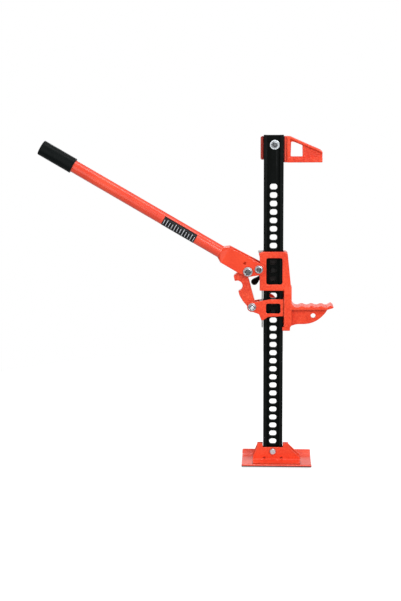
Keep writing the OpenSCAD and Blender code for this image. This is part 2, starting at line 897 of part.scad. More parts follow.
module sleeve_outline() {
    polygon(rounded_outline([
        [-sleeve_left, -sleeve_drop, edge_r],
        [arm_in_x + cut, -sleeve_drop, 0],
        [sleeve_low_x, -sleeve_drop, 0],
        [sleeve_top_x, sleeve_rise, 2 * cast_r],
        [-cavity_x, sleeve_rise, 0],
        [-cavity_x, tab_z, 0],
        [-horn_out_x, tab_z, edge_r],
        [-sleeve_left, tab_z - lug_r, 2 * lug_r],
        [-sleeve_left, pivot_rise, 0]]));
}

module nose_window(w, h, x, z) {
    translate([x, z])
        polygon(rounded_outline([
            [-w / 2, -h / 2, window_r], [w / 2, -h / 2, window_r],
            [w / 2, h / 2, window_r], [-w / 2, h / 2, window_r]]));
}

// Height of the wavy top of the nose at distance x from the arm.
last_crest_x = nose_len - 6 * edge_r * 3 / 4;
function wave(x) =
    -wave_h / 2 + wave_h / 2 * cos(360 * (x - last_crest_x) / wave_pitch)
    + lip_h * pow(max(0, 1 - abs(x - last_crest_x) / (wave_pitch / 2)), 2)
    + 2 * wave_h * pow(max(0, 1 - x / (wave_pitch / 3)), 2);

module nose_plate() {
    step = wave_pitch / 12;
    n = floor(last_crest_x / step);
    under = -wave_h - nose_t;
    polygon(concat(
        [for (i = [0:n]) let (x = last_crest_x * i / n) [x, wave(x)]],
        [[nose_len - edge_r, -wave_h / 2],
         [nose_len, -wave_h],
         [nose_len - edge_r, -wave_h - nose_t / 4],
         [last_crest_x - wave_pitch / 2, under],
         [0, under]]));
}

// Lower edge of the rib, as shares of the nose length and the rib height.
rib_shares = [[0.87, 0], [0.79, -0.3], [0.65, -0.61], [0.49, -0.81],
    [0.3, -0.88], [0.12, -0.87], [-0.03, -1]];

module rib() {
    p = cut_corners(cut_corners(scaled(rib_shares, nose_len, rib_h)));
    polygon(concat(p, [[-arm_out_x + arm_in_x, -rib_h], [-arm_out_x + arm_in_x, 0]]));
}

module large_runner() {
    half_arm = arm_d / 2;
    arm_top = -sleeve_drop + shoulder_h * 2 / 3;
    pocket_x = guide_x + small_wall + 2 * face_clear;
    nose_under = -nose_drop - wave_h - nose_t;
    color("orangered")
        at_upper_pin()
            difference() {
                union() {
                    along_y(sleeve_d)
                        sleeve_outline();
                    // Arm, deeper than the sleeve, with a sloped shoulder.
                    between_x(arm_in_x, arm_out_x)
                        polygon(rounded_outline([
                            [-half_arm, -arm_drop, edge_r],
                            [half_arm, -arm_drop, edge_r],
                            [half_arm, arm_top - shoulder_h, cast_r],
                            [half_sleeve_d, arm_top, 0],
                            [-half_sleeve_d, arm_top, 0],
                            [-half_arm, arm_top - shoulder_h, cast_r]]));
                    // Guide foot round the right flange of the bar.
                    box(guide_foot_x, arm_out_x - 3 * edge_r, -half_arm, half_arm,
                        -arm_drop, -arm_drop + guide_foot_h);
                    // Rear lip of the arm, behind the small runner.
                    box(guide_foot_x, arm_out_x - 3 * edge_r, half_sleeve_d + 2 * face_clear, half_arm,
                        -arm_drop, arm_top - shoulder_h);
                    // Nose.
                    translate([arm_out_x, 0, -nose_drop])
                        along_y(nose_w)
                            nose_plate();
                    translate([arm_out_x, 0, nose_under])
                        along_y(rib_t)
                            rib();
                    // Lug of the handle pivot.
                    translate([-pivot_x, 0, pivot_rise])
                        rod_y(lug_r, -half_sleeve_d, half_sleeve_d);
                    pin_boss();
                    // Boss of the latch.
                    translate([-latch_x, 0, -latch_drop])
                        rod_y(stud_d * 3 / 4, half_sleeve_d - cut, half_sleeve_d + latch_off - face_clear);
                }
                guide_space(-sleeve_drop - cut, sleeve_rise + cut);
                // The bar and the small runner pass inside the arm.
                box(-guide_x, guide_x, -guide_y, guide_y, -far, 0);
                box(0, pocket_x, -half_sleeve_d - 2 * face_clear, half_sleeve_d + 2 * face_clear,
                    -arm_drop + guide_foot_h, -sleeve_drop);
                // Step that narrows the lower end of the arm.
                along_y(arm_d + 2 * cut)
                    polygon([
                        [arm_low_x, -arm_drop - cut],
                        [arm_low_x, -arm_drop + arm_low_h],
                        [arm_out_x, -arm_drop + arm_low_h + arm_out_x - arm_low_x],
                        [arm_out_x + cut, -arm_drop - cut]]);
                // Window in the front wall.
                between_y(-half_sleeve_d - cut, 0)
                    nose_window(big_window_w, big_window_h, big_window_x, 0);
                pin_bore();
                translate([-pivot_x, 0, pivot_rise])
                    rod_y(pivot_d / 2, -sleeve_d, sleeve_d);
                translate([arm_out_x + rib_hole_x, 0, nose_under - rib_hole_drop])
                    rod_y(rib_hole_d / 2, -rib_t, rib_t);
                translate([-latch_x, 0, -latch_drop])
                    rod_y(stud_d / 2, half_sleeve_d - strip_t, far);
            }
}

module guide_strip() {
    half_w = strip_w / 2;
    low = -arm_drop + strip_t * 3 / 2;
    top = tab_z + strip_t;
    color("gainsboro")
        at_upper_pin()
            between_y(-half_w, half_w)
                polygon(rounded_outline([
                    [-strip_out_x, low, 0], [-strip_in_x, low, 0],
                    [-strip_in_x, top, strip_t], [-horn_out_x - edge_r / 2, top, 0],
                    [-horn_out_x - edge_r / 2, tab_z, 0], [-strip_out_x, tab_z, 0]]));
}

// Handle pivot bolt, held in the lug.

washer_y = socket_out + face_clear / 4;

module at_pivot() {
    translate([-pivot_x, 0, pivot_z])
        children();
}

module pivot_bolt() {
    color("silver")
        at_pivot()
            bolt_y(pivot_d, -washer_y - washer_t - pivot_d, washer_y + washer_t);
}

module pivot_nut() {
    color("silver")
        at_pivot()
            nut_y(pivot_d, -washer_y - washer_t);
}

module pivot_washers() {
    color("silver")
        at_pivot()
            for (side = [0, 1])
                mirror([0, side, 0])
                    ring_y(pivot_d, pivot_d / 2, washer_y, washer_y + washer_t);
}

// Latch: a lever with a round knob behind the sleeve.

latch_y0 = half_sleeve_d + latch_off;
latch_y1 = latch_y0 + latch_t;

module at_latch() {
    translate([-latch_x, 0, upper_pin_z - latch_drop])
        children();
}

module latch_stud() {
    color("silver")
        at_latch() {
            rod_y(stud_d / 2, half_sleeve_d - strip_t, latch_y1 + face_clear);
            rod_y(stud_d * 0.8, latch_y1 + face_clear, latch_y1 + face_clear + washer_t);
        }
}

module latch_lever() {
    hub_r = stud_d * 0.8;
    color("black")
        at_latch()
            rotate([0, -latch_angle, 0])
                difference() {
                    union() {
                        rod_y(hub_r, latch_y0, latch_y1);
                        box(-latch_len + knob_d / 4, 0, latch_y0, latch_y1, -latch_w / 2, latch_w / 2);
                        // Cam lobe beside the yoke.
                        between_y(latch_y0, latch_y1)
                            polygon([[0, -hub_r], [hub_r * 1.3, -hub_r / 2],
                                [hub_r * 1.3, hub_r / 2], [0, hub_r]]);
                    }
                    rod_y(stud_d / 2 + pivot_clear, 0, far);
                }
}

// Half section of the knob, along the lever: a ball that tapers to a neck. The
// neck's sides touch the ball where its arc starts.
knob_neck_r = latch_w * 3 / 5;
knob_arc_start = 60;
knob_arc_step = 15;

function knob_section() =
    let (r = knob_d / 2, neck = latch_len - knob_d)
    concat(
        [[0, -neck], [knob_neck_r, -neck]],
        [for (a = [knob_arc_start:knob_arc_step:180 - knob_arc_step])
            [r * sin(a), -latch_len + r * cos(a)]],
        [[0, -latch_len - r]]);

module latch_knob() {
    gap = face_clear / 4;
    color("black")
        at_latch()
            rotate([0, -latch_angle, 0])
                difference() {
                    translate([0, (latch_y0 + latch_y1) / 2, 0])
                        rotate([0, 90, 0])
                            rotate_extrude()
                                polygon(knob_section());
                    // Slot that the lever sits in.
                    box(-latch_len + knob_d / 4 - gap, 0, latch_y0 - gap, latch_y1 + gap,
                        -latch_w / 2 - gap, latch_w / 2 + gap);
                }
}

// Small runner, which climbs below the large one.

link_boss_half = link_boss_w / 2;
fork_in = link_boss_half + face_clear;
fork_r = link_boss_r + edge_r / 2;

module small_outline() {
    right = guide_x + small_wall;
    polygon(rounded_outline([
        [right, -small_drop + cast_r / 2, edge_r],
        [right, small_rise, edge_r],
        [-guide_x / 3, small_rise - edge_r / 2, 0],
        [-link_low_x + fork_r / 2, link_low_rise + fork_r, 0],
        [-link_low_x, link_low_rise, 0],
        [-link_low_x + edge_r, link_low_rise - fork_r, 0],
        [-sleeve_left - edge_r, small_rise - 8 * cast_r * 6 / 5, cast_r],
        [-cavity_x, -toe_drop, edge_r],
        [-guide_x, -toe_drop, 2 * edge_r],
        [-guide_x / 2, -small_drop, cast_r]]));
}

module small_runner() {
    color("orangered")
        at_lower_pin()
            difference() {
                union() {
                    along_y(sleeve_d)
                        small_outline();
                    translate([-link_low_x, 0, link_low_rise])
                        rod_y(fork_r, -half_sleeve_d, half_sleeve_d);
                    pin_boss();
                }
                guide_space(-toe_drop - cut, small_rise + cut);
                // Fork that takes the lower end of the link.
                box(-far, -sleeve_left, -fork_in, fork_in, -far, far);
                between_y(-half_sleeve_d - cut, 0)
                    nose_window(small_window_w, small_window_h, 0, small_window_rise);
                pin_bore();
                translate([-link_low_x, 0, link_low_rise])
                    rod_y(link_low_d / 2, -sleeve_d, sleeve_d);
            }
}

module at_link_low() {
    translate([-link_low_x, 0, link_low_z])
        children();
}

module link_low_bolt() {
    color("silver")
        at_link_low()
            bolt_y(link_low_d, -half_sleeve_d - washer_t - link_low_d, half_sleeve_d + washer_t);
}

module link_low_nut() {
    color("silver")
        at_link_low()
            nut_y(link_low_d, -half_sleeve_d - washer_t);
}

module link_low_washers() {
    color("silver")
        at_link_low()
            for (side = [0, 1])
                mirror([0, side, 0])
                    ring_y(link_low_d, link_low_d / 2, half_sleeve_d, half_sleeve_d + washer_t);
}

// Link between the small runner and the handle.

// Outline of the link as shares of its length, from the lower bolt, with the
// corner radius as a share of the cast radius.
link_shares = [
    [0.13, -0.02, 0], [0.05, 0.23, 3], [-0.113, 0.83, 0], [0.02, 1, 0],
    [-0.1, 1.1, 0], [-0.26, 1.02, 1], [-0.385, 0.965, 0.8], [-0.515, 0.865, 0.8],
    [-0.482, 0.71, 0.7], [-0.38, 0.725, 0], [-0.275, 0.59, 0],
    [-0.385, 0.435, 0.5], [-0.35, 0.305, 0.8], [-0.255, 0.145, 3], [-0.13, 0, 0]];
// Round bay in the left side of the link, for the handle clip.
bay_share = [-0.412, 0.578];
bay_r_share = 0.146;
// Room that the open pivot needs, as shares of the bolt: the handle swings the
// bolt through an arc while the link keeps nearly upright.
slot_w_share = 0.44;
slot_h_share = 0.34;
slot_x_share = 0.44;
slot_z_share = 0.09;

module link() {
    top_x = link_low_x - link_top_x;
    top_z = link_top_z - link_low_z;
    bolt_r = link_top_d / 2;
    color("orangered")
        at_link_low()
            difference() {
                union() {
                    along_y(link_t)
                        difference() {
                            polygon(rounded_outline([for (s = link_shares)
                                [s[0] * link_len, s[1] * link_len, s[2] * cast_r]]));
                            translate(bay_share * link_len)
                                circle(r = bay_r_share * link_len);
                        }
                    rod_y(link_boss_r, -link_boss_half, link_boss_half);
                    translate([top_x + slot_x_share * bolt_r, 0, top_z])
                        rod_y(link_eye_r, -link_boss_half, link_boss_half);
                }
                rod_y(link_low_d / 2 + pivot_clear, -link_boss_w, link_boss_w);
                // Open pivot: an oversize eye round the upper bolt.
                translate([top_x + slot_x_share * bolt_r, 0, top_z + slot_z_share * bolt_r])
                    along_y(2 * link_boss_w)
                        union() {
                            square([slot_w_share * link_top_d, 2 * bolt_r * (1 + slot_h_share / 2)],
                                center = true);
                            for (side = [-1, 1])
                                translate([side * slot_w_share * bolt_r, 0])
                                    circle(r = bolt_r * (1 + slot_h_share / 2));
                        }
            }
}

// Handle, drawn along its own axis from the pivot.

module on_handle() {
    at_pivot()
        rotate([0, handle_angle, 0])
            children();
}

// Place of the link bolt in the frame of the handle.
crank_local_x = -crank_r * cos(crank_angle + handle_angle);
crank_local_z = -crank_r * sin(crank_angle + handle_angle);
socket_end_r = pivot_d * 1.5;
link_end_r = link_top_d * 1.125;

// Side of the socket: straight channel that rounds off over both bolts.
module socket_side() {
    a = [crank_local_x, crank_local_z];
    d = unit(a);
    side = [-d[1], d[0]];
    polygon([
        [-socket_len, socket_rise],
        [0, socket_end_r],
        side * socket_end_r,
        a + side * link_end_r,
        a + [0, -link_end_r],
        [-neck_x, -socket_fall],
        [-socket_len, -socket_fall]]);
    circle(r = socket_end_r);
    translate(a)
        circle(r = link_end_r);
}

module tube_axis() {
    translate([0, 0, -handle_drop])
        rotate([0, -90, 0])
            children();
}

tube_in = socket_len - 3 * flare_len / 2;

module handle_socket() {
    block_end = socket_len - flare_len;
    block_top = tube_d / 2 + socket_t - handle_drop;
    color("orangered")
        on_handle()
            difference() {
                union() {
                    for (side = [0, 1])
                        mirror([0, side, 0])
                            between_y(socket_in, socket_out)
                                socket_side();
                    // Block round the end of the tube, open above it.
                    box(-socket_len, -block_end, -socket_out, socket_out,
                        -socket_fall, block_top);
                    // Flare from the round tube to the square channel.
                    hull() {
                        box(-socket_len, -socket_len + cut, -socket_out, socket_out,
                            -socket_fall, socket_rise);
                        tube_axis()
                            translate([0, 0, socket_len + flare_len])
                                cylinder(r = tube_d / 2 + cut / 2, h = cut);
                    }
                }
                // Seat of the tube, the bolt holes, and the clip hole in front.
                tube_axis()
                    translate([0, 0, tube_in])
                        cylinder(d = tube_d, h = handle_reach);
                rod_y(pivot_d / 2 + pivot_clear, -far, far);
                translate([crank_local_x, 0, crank_local_z])
                    rod_y(link_top_d / 2 + pivot_clear, -far, far);
                translate([-clip_hole_x, 0, -clip_hole_drop])
                    rod_y(clip_hole_d / 2, -far, 0);
            }
}

module handle_tube() {
    grip_end = grip_d / 8;
    color("orangered")
        on_handle()
            tube_axis()
                difference() {
                    translate([0, 0, tube_in])
                        cylinder(d = tube_d, h = handle_reach - grip_end - tube_in);
                    translate([0, 0, tube_in - cut])
                        cylinder(d = tube_d - 2 * tube_wall, h = handle_reach);
                }
}

module handle_grip() {
    r = grip_d / 2;
    bore = tube_d / 2;
    grip_end = grip_d / 8;
    z0 = handle_reach - grip_len;
    color("black")
        on_handle()
            tube_axis()
                rotate_extrude()
                    polygon(concat(
                        [[bore, z0], [r - cut, z0], [r, z0 + cut]],
                        [for (a = [0:15:90])
                            [r - grip_end * (1 - cos(a)), handle_reach - grip_end * (1 - sin(a))]],
                        [[0, handle_reach], [0, handle_reach - grip_end],
                         [bore, handle_reach - grip_end]]));
}

module at_link_top() {
    translate([-link_top_x, 0, link_top_z])
        children();
}

module link_top_bolt() {
    color("silver")
        at_link_top()
            bolt_y(link_top_d, -socket_out - washer_t - link_top_d, socket_out + washer_t);
}

module link_top_nut() {
    color("silver")
        at_link_top()
            nut_y(link_top_d, -socket_out - washer_t);
}

module link_top_washers() {
    color("silver")
        at_link_top()
            for (side = [0, 1])
                mirror([0, side, 0])
                    ring_y(link_top_d * 0.98, link_top_d / 2, socket_out, socket_out + washer_t);
}

module link_top_spacers() {
    color("silver")
        at_link_top()
            for (side = [0, 1])
                mirror([0, side, 0])
                    ring_y(link_top_d * 3 / 4, link_top_d / 2, link_boss_half + face_clear, socket_in);
}

foot_plate();
foot_bracket_front();
foot_bracket_rear();
foot_bolt();
foot_nut();
standard_bar();
top_clamp();
top_bolt();
top_nut();
top_washers();
large_runner();
guide_strip();
pivot_bolt();
pivot_nut();
pivot_washers();
upper_yoke();
upper_spring();
upper_climbing_pin();
upper_cross_pin();
upper_spring_seat();
latch_stud();
latch_lever();
latch_knob();
small_runner();
link_low_bolt();
link_low_nut();
link_low_washers();
lower_yoke();
lower_spring();
lower_climbing_pin();
lower_cross_pin();
lower_spring_seat();
link();
handle_socket();
handle_tube();
handle_grip();
link_top_bolt();
link_top_nut();
link_top_washers();
link_top_spacers();
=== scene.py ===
"""A high-lift ratchet jack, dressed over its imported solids.

Sizes here are in millimetres and angles in degrees, and a mesh is turned into
metres as it is made. The camera, the lamps and the stage are placed in metres.
X points to the nose of the jack, Y away from the viewer and Z up, as in the
solids.
"""

import math

import bmesh
import bpy
import numpy as np
from mathutils import Matrix, Vector


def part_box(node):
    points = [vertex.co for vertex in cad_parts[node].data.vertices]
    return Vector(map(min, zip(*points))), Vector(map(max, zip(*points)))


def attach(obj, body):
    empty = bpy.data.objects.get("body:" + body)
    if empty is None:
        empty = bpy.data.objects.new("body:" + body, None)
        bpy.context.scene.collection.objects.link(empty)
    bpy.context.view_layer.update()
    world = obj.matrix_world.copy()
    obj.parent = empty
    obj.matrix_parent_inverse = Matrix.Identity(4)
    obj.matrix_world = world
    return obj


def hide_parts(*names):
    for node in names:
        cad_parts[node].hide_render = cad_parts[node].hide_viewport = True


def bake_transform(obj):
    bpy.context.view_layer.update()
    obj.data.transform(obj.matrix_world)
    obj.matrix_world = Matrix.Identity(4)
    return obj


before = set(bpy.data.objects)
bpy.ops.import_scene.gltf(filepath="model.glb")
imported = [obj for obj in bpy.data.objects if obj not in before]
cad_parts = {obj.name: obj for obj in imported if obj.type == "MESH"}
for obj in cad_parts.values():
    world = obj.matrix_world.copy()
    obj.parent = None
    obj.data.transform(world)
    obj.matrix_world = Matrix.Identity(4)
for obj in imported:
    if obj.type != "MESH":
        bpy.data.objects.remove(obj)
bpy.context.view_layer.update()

MM = 0.001


def node_box(node):
    """Lowest and highest corner of a CAD node, in millimetres."""
    low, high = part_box(node)
    return np.array(low) / MM, np.array(high) / MM


def node_centre(node):
    low, high = node_box(node)
    return (low + high) / 2


# Sizes shared with the solids.

BAR_LOW, BAR_HIGH = node_box("standard_bar")
STRIP_LOW = node_box("guide_strip")[0]
FOOT_LOW = node_box("foot_plate")[0]
UPPER_PIN_Z = node_centre("upper_climbing_pin")[2]
LOWER_PIN_Z = node_centre("lower_climbing_pin")[2]
PIVOT = node_centre("pivot_bolt")
HANDLE_ANGLE = 30.4
HANDLE_DROP = 12.6
HANDLE_REACH = 626.0
TUBE_R = 16.0
TUBE_WALL = 2.5
TUBE_IN = 74.0
GRIP_R = 19.8
GRIP_LEN = 94.0
SPRING_R = 6.5
SPRING_WIRE_R = 0.9
SPRING_TURNS = 5
LATCH_PIVOT = np.array((-26.0, 39.25, UPPER_PIN_Z - 14.6))
LATCH_ANGLE = 42.6
KNOB_R = 8.5
KNOB_NECK_R = 4.8
KNOB_CENTRE = 30.0
KNOB_NECK = 13.0
WASHER_T = 2.0

# Camera, as the photograph was taken.

CAMERA_PLACE = (-0.013, -3.123, 0.964)
CAMERA_YAW = 3.14
CAMERA_DOWN = 9.84
CAMERA_ROLL = -0.37
CAMERA_LENS = 74.88
SENSOR_HEIGHT = 36.0


def add_object(name, data):
    """A new object in the scene."""
    thing = bpy.data.objects.new(name, data)
    bpy.context.scene.collection.objects.link(thing)
    return thing


def make_camera():
    """Camera looking along +Y, turned by yaw to the left, down and rolled."""
    yaw, down, roll = map(math.radians, (CAMERA_YAW, CAMERA_DOWN, CAMERA_ROLL))
    level = Vector((-math.sin(yaw), math.cos(yaw), 0))
    side = Vector((math.cos(yaw), math.sin(yaw), 0))
    look = level * math.cos(down) + Vector((0, 0, -math.sin(down)))
    rise = level * math.sin(down) + Vector((0, 0, math.cos(down)))
    right = side * math.cos(roll) + rise * math.sin(roll)
    up = rise * math.cos(roll) - side * math.sin(roll)
    data = bpy.data.cameras.new("photo_camera")
    data.sensor_fit = "VERTICAL"
    data.sensor_height = SENSOR_HEIGHT
    data.lens = CAMERA_LENS
    data.clip_start = 0.05
    camera = add_object("photo_camera", data)
    turn = Matrix((right, up, -look)).transposed().to_4x4()
    camera.matrix_world = Matrix.Translation(CAMERA_PLACE) @ turn
    bpy.context.scene.camera = camera


make_camera()


class Wire:
    """A shader socket that takes part in sums: each operation adds a Math node."""

    def __init__(self, nodes, socket):
        self.nodes = nodes
        self.socket = socket

    def math(self, operation, first, second):
        return self.nodes.node(
            "ShaderNodeMath", {"operation": operation}, {0: first, 1: second})

    def __add__(self, other):
        return self.math("ADD", self, other)

    def __rsub__(self, other):
        return self.math("SUBTRACT", other, self)

    def __mul__(self, other):
        return self.math("MULTIPLY", self, other)

    def __gt__(self, other):
        return self.math("GREATER_THAN", self, other)

    def __lt__(self, other):
        return self.math("LESS_THAN", self, other)

    def __or__(self, other):
        """The larger of two masks."""
        return self.math("MAXIMUM", self, other)


class Nodes:
    """The nodes of one material or of the world."""

    def __init__(self, tree):
        self.tree = tree

    def set(self, node, values):
        """Gives the sockets of a node their values or links."""
        for key, value in values.items():
            socket = node.inputs[key]
            if isinstance(value, Wire):
                self.tree.links.new(value.socket, socket)
            else:
                socket.default_value = value

    def node(self, kind, settings=None, values=None, output=0):
        """Adds a node, settings before sockets, and returns one of its outputs.
        The stops of a ramp are pairs of a place and a grey level."""
        node = self.tree.nodes.new(kind)
        for key, value in (settings or {}).items():
            if key == "stops":
                ramp = node.color_ramp.elements
                while len(ramp) < len(value):
                    ramp.new(1)
                for stop, (place, level) in zip(ramp, value):
                    stop.position = place
                    stop.color = (level, level, level, 1)
            else:
                setattr(node, key, value)
        self.set(node, values or {})
        return Wire(self, node.outputs[output])

    def ramp(self, value, *stops):
        """Grey level that runs straight from each stop to the next."""
        return self.node("ShaderNodeValToRGB", {"stops": stops}, {0: value})

    def mix(self, factor, first, second):
        """Colour between two colours."""
        return self.node("ShaderNodeMix", {"data_type": "RGBA"}, {
            "Factor": factor, 6: first, 7: second}, 2)

    def seen(self, kind):
        """1 for rays of one kind, such as those of the camera."""
        return self.node("ShaderNodeLightPath", output="Is %s Ray" % kind)


class Finish(Nodes):
    """One material: a Principled shader and the nodes that vary it."""

    def __init__(self, name, **constants):
        self.material = bpy.data.materials.new(name)
        self.material.use_nodes = True
        super().__init__(self.material.node_tree)
        self.tree.nodes.clear()
        output = self.tree.nodes.new("ShaderNodeOutputMaterial")
        self.shader = self.tree.nodes.new("ShaderNodeBsdfPrincipled")
        self.tree.links.new(self.shader.outputs[0], output.inputs[0])
        self.vary(**constants)

    def vary(self, **values):
        """Sets sockets of the shader; an underscore stands for a space."""
        self.set(self.shader, {
            key.replace("_", " "): value for key, value in values.items()})

    def place(self, scale=(1, 1, 1)):
        """Object coordinates in metres, stretched by scale."""
        here = self.node("ShaderNodeTexCoord", output="Object")
        return self.node("ShaderNodeMapping", {"vector_type": "POINT"},
                         {"Vector": here, "Scale": scale})

    def noise(self, scale, detail=3, stretch=(1, 1, 1), roughness=0.5):
        """Noise with about so many waves a metre."""
        return self.node("ShaderNodeTexNoise", None, {
            "Vector": self.place(stretch), "Scale": scale, "Detail": detail,
            "Roughness": roughness})

    def within(self, low, high):
        """1 inside a box whose corners are in millimetres, and 0 outside."""
        mask = 1
        for axis, least, most in zip("XYZ", low, high):
            here = self.node("ShaderNodeSeparateXYZ", None, {0: self.place()}, axis)
            mask = (here > least * MM) * (here < most * MM) * mask
        return mask

    def edges(self, low, high):
        """0 on flats and 1 on outer edges, from how the mesh is curved."""
        curved = self.node("ShaderNodeNewGeometry", output="Pointiness")
        return self.ramp(curved, (low, 0), (high, 1))

    def crevice(self, reach, open_share=0.80, shut_share=0.22):
        """1 where surfaces within reach, in millimetres, leave no more than the shut
        share of the sky free, falling to 0 where the open share is free."""
        room = self.node("ShaderNodeAmbientOcclusion", {"samples": 8},
                         {"Distance": reach * MM}, "AO")
        return self.ramp(room, (shut_share, 1), (open_share, 0))

    def bump(self, height, strength, distance, normal=None):
        """Normal tilted by a height of so many millimetres, over another one."""
        values = {"Height": height, "Strength": strength, "Distance": distance * MM}
        if normal is not None:
            values["Normal"] = normal
        return self.node("ShaderNodeBump", None, values)


def rgb(red, green, blue):
    """Opaque colour in linear light."""
    return (red, green, blue, 1)


RED = rgb(0.90, 0.070, 0.023)
DEEP_RED = rgb(0.78, 0.044, 0.014)
# Pale red for edges: part wear, part painted highlight.
PALE_RED = rgb(1.0, 0.24, 0.17)
LIGHT_RED = rgb(0.95, 0.14, 0.060)
DULL_RED = rgb(0.52, 0.026, 0.011)
# Painted shade colours: in crevices, in the shade boxes and on the slideway.
SHADE_RED = rgb(0.085, 0.008, 0.006)
SHADE_BROWN = rgb(0.20, 0.012, 0.008)
SLIDEWAY_SHADE = rgb(0.010, 0.006, 0.005)

# Boxes, as a low and a high corner. Brown painted shade covers the paint
# # between the ears of the brackets, low on the foot's front edge, at the roots
# # of the yokes and where the clamp wraps the bar. Near black painted shade
# # covers it where the runners slide on the bar.

ASIDE = 200
ALOFT = 900
EAR_GAP = ((-ASIDE, BAR_LOW[1] - 3.2, 12), (ASIDE, BAR_HIGH[1] + 0.4, 60))
FOOT_HEM = ((-ASIDE, FOOT_LOW[1] - 1, -1), (ASIDE, FOOT_LOW[1] + 25, 7))
YOKE_ROOT = ((-ASIDE, BAR_LOW[1], 0), (ASIDE, BAR_HIGH[1] + 36, ALOFT))
CLAMP_WRAP = ((BAR_LOW[0] - 30, -40, 0), (BAR_HIGH[0] + 3.4, 60, ALOFT))
SLIDEWAY = ((STRIP_LOW[0] - 1, BAR_LOW[1] - 1, 0),
            (BAR_HIGH[0] + 1, BAR_HIGH[1] + 1, BAR_HIGH[2]))

# How much of a powder coat's layers covers it where they are strongest.

# The edge layer is part wear and part painted highlight; the crevice and box layers
# are painted shade.
EDGE_WEAR_AND_HIGHLIGHT = 0.5
CREVICE_SHADE = 0.9
SHADE_BOX_SHARE = 0.8


def powder_coat(name, grain, depth, strength, mottle, shade=7, slideway=None,
                coat=0.2, shade_box=None, fine=0.16, **constants):
    """Orange-red powder coat: soft patches, a mottle as fine as the grain, a skin
    with the grain's depth and strength, fine orange peel over it, paler outer
    edges that are part wear and part painted highlight, and painted shade in
    crevices up to shade wide. Inside the shade box, brown painted shade covers
    it, and inside the box of the slideway, near black painted shade."""
    f = Finish(name, Specular_IOR_Level=0.22, **constants)
    patches = f.ramp(f.noise(16, 4), (0.35, 0), (0.7, 1))
    skin = f.noise(grain, 5, roughness=0.65)
    colour = f.mix(patches, RED, DEEP_RED)
    colour = f.mix(f.ramp(skin, (0.50, 0), (0.70, 1)) * mottle, colour, LIGHT_RED)
    colour = f.mix(f.ramp(skin, (0.30, 1), (0.50, 0)) * mottle, colour, DULL_RED)
    # Paler edges in spots: part wear, part painted highlight.
    rubs = f.ramp(f.noise(70, 3), (0.40, 0.1), (0.65, 1))
    colour = f.mix(f.edges(0.525, 0.60) * rubs * EDGE_WEAR_AND_HIGHLIGHT, colour, PALE_RED)
    # Painted shade: darker red in crevices that other surfaces close in.
    colour = f.mix(f.crevice(shade) * CREVICE_SHADE, colour, SHADE_RED)
    # Painted shade: brown inside the shade box.
    if shade_box:
        colour = f.mix(f.within(*shade_box) * SHADE_BOX_SHARE, colour, SHADE_BROWN)
    # Painted shade: near black inside the box of the slideway.
    if slideway:
        colour = f.mix(f.within(*slideway), colour, SLIDEWAY_SHADE)
    f.vary(Base_Color=colour, Roughness=f.noise(60, 2) * 0.14 + 0.30,
           Coat_Weight=f.noise(30, 2) * 0.2 + coat)
    peel = f.bump(f.noise(900, 2), fine, 0.3)
    f.vary(Normal=f.bump(skin, strength, depth, peel))
    return f.material


def bar_black(name):
    """Satin black paint over rolled steel: long rolling marks and rubbed edges."""
    f = Finish(name, Specular_IOR_Level=0.05, Coat_Roughness=0.25)
    drawn = f.noise(60, 4, stretch=(1, 1, 0.06))
    rubbed = f.edges(0.52, 0.62) * f.noise(90, 3)
    paint, steel = rgb(0.0010, 0.0020, 0.0016), rgb(0.03, 0.032, 0.033)
    f.vary(
        Base_Color=f.mix(rubbed, paint, steel),
        Roughness=drawn * 0.20 + 0.30,
        Coat_Weight=f.noise(12, 2) * 0.06,
        Normal=f.bump(drawn, 0.12, 0.6, f.bump(f.noise(700, 3), 0.10, 0.3)))
    return f.material


def zinc_plate(name, pale=0.98, dark=0.72, rough=0.24):
    """Zinc plated steel: cloudy passivation, and painted shade in corners."""
    f = Finish(name, Metallic=1.0)
    cloud = f.noise(140, 4)
    plate = f.mix(cloud, rgb(pale * 0.95, pale, pale * 1.03),
                  rgb(dark * 0.92, dark, dark * 1.06))
    # Painted shade: near black in corners, beside nuts and washer rims.
    corners = f.crevice(5, 0.85, 0.45) * 0.95
    f.vary(
        Base_Color=f.mix(corners, plate, rgb(0.02, 0.02, 0.024)),
        Roughness=cloud * 0.20 + rough,
        Normal=f.bump(f.noise(1500, 2), 0.08, 0.2))
    return f.material


def drawn_steel(name, stretch, pale=0.62, dark=0.40, rough=0.28):
    """Steel with marks along one way."""
    f = Finish(name, Metallic=1.0)
    marks = f.noise(900, 4, stretch=stretch)
    f.vary(
        Base_Color=f.mix(marks, rgb(pale, pale * 0.99, pale * 0.97),
                         rgb(dark, dark * 0.99, dark * 0.97)),
        Roughness=marks * 0.18 + rough,
        Normal=f.bump(marks, 0.2, 0.2))
    return f.material


def grip_rubber(name):
    """Black rubber: fine grain, and paler where hands rub it."""
    f = Finish(name, Specular_IOR_Level=0.12)
    worn = f.noise(40, 4)
    f.vary(
        Base_Color=f.mix(worn, rgb(0.001, 0.003, 0.003), rgb(0.004, 0.006, 0.006)),
        Roughness=worn * 0.2 + 0.34,
        Normal=f.bump(f.noise(1200, 3), 0.25, 0.4))
    return f.material


def moulded(name, rough, dark, pale, **constants):
    """Moulded plastic of one colour with faint clouds."""
    f = Finish(name, **constants)
    f.vary(
        Base_Color=f.mix(f.noise(80, 3), dark, pale),
        Roughness=f.noise(200, 2) * 0.12 + rough,
        Normal=f.bump(f.noise(900, 2), 0.05, 0.2))
    return f.material


# Skins of a casting, of pressed plate and of sheet.

CAST = {"grain": 230, "depth": 1.6, "strength": 0.5}
PRESSED = {"grain": 260, "depth": 0.9}
SHEET = {"grain": 420, "depth": 0.5, "strength": 0.3, "mottle": 0.25}

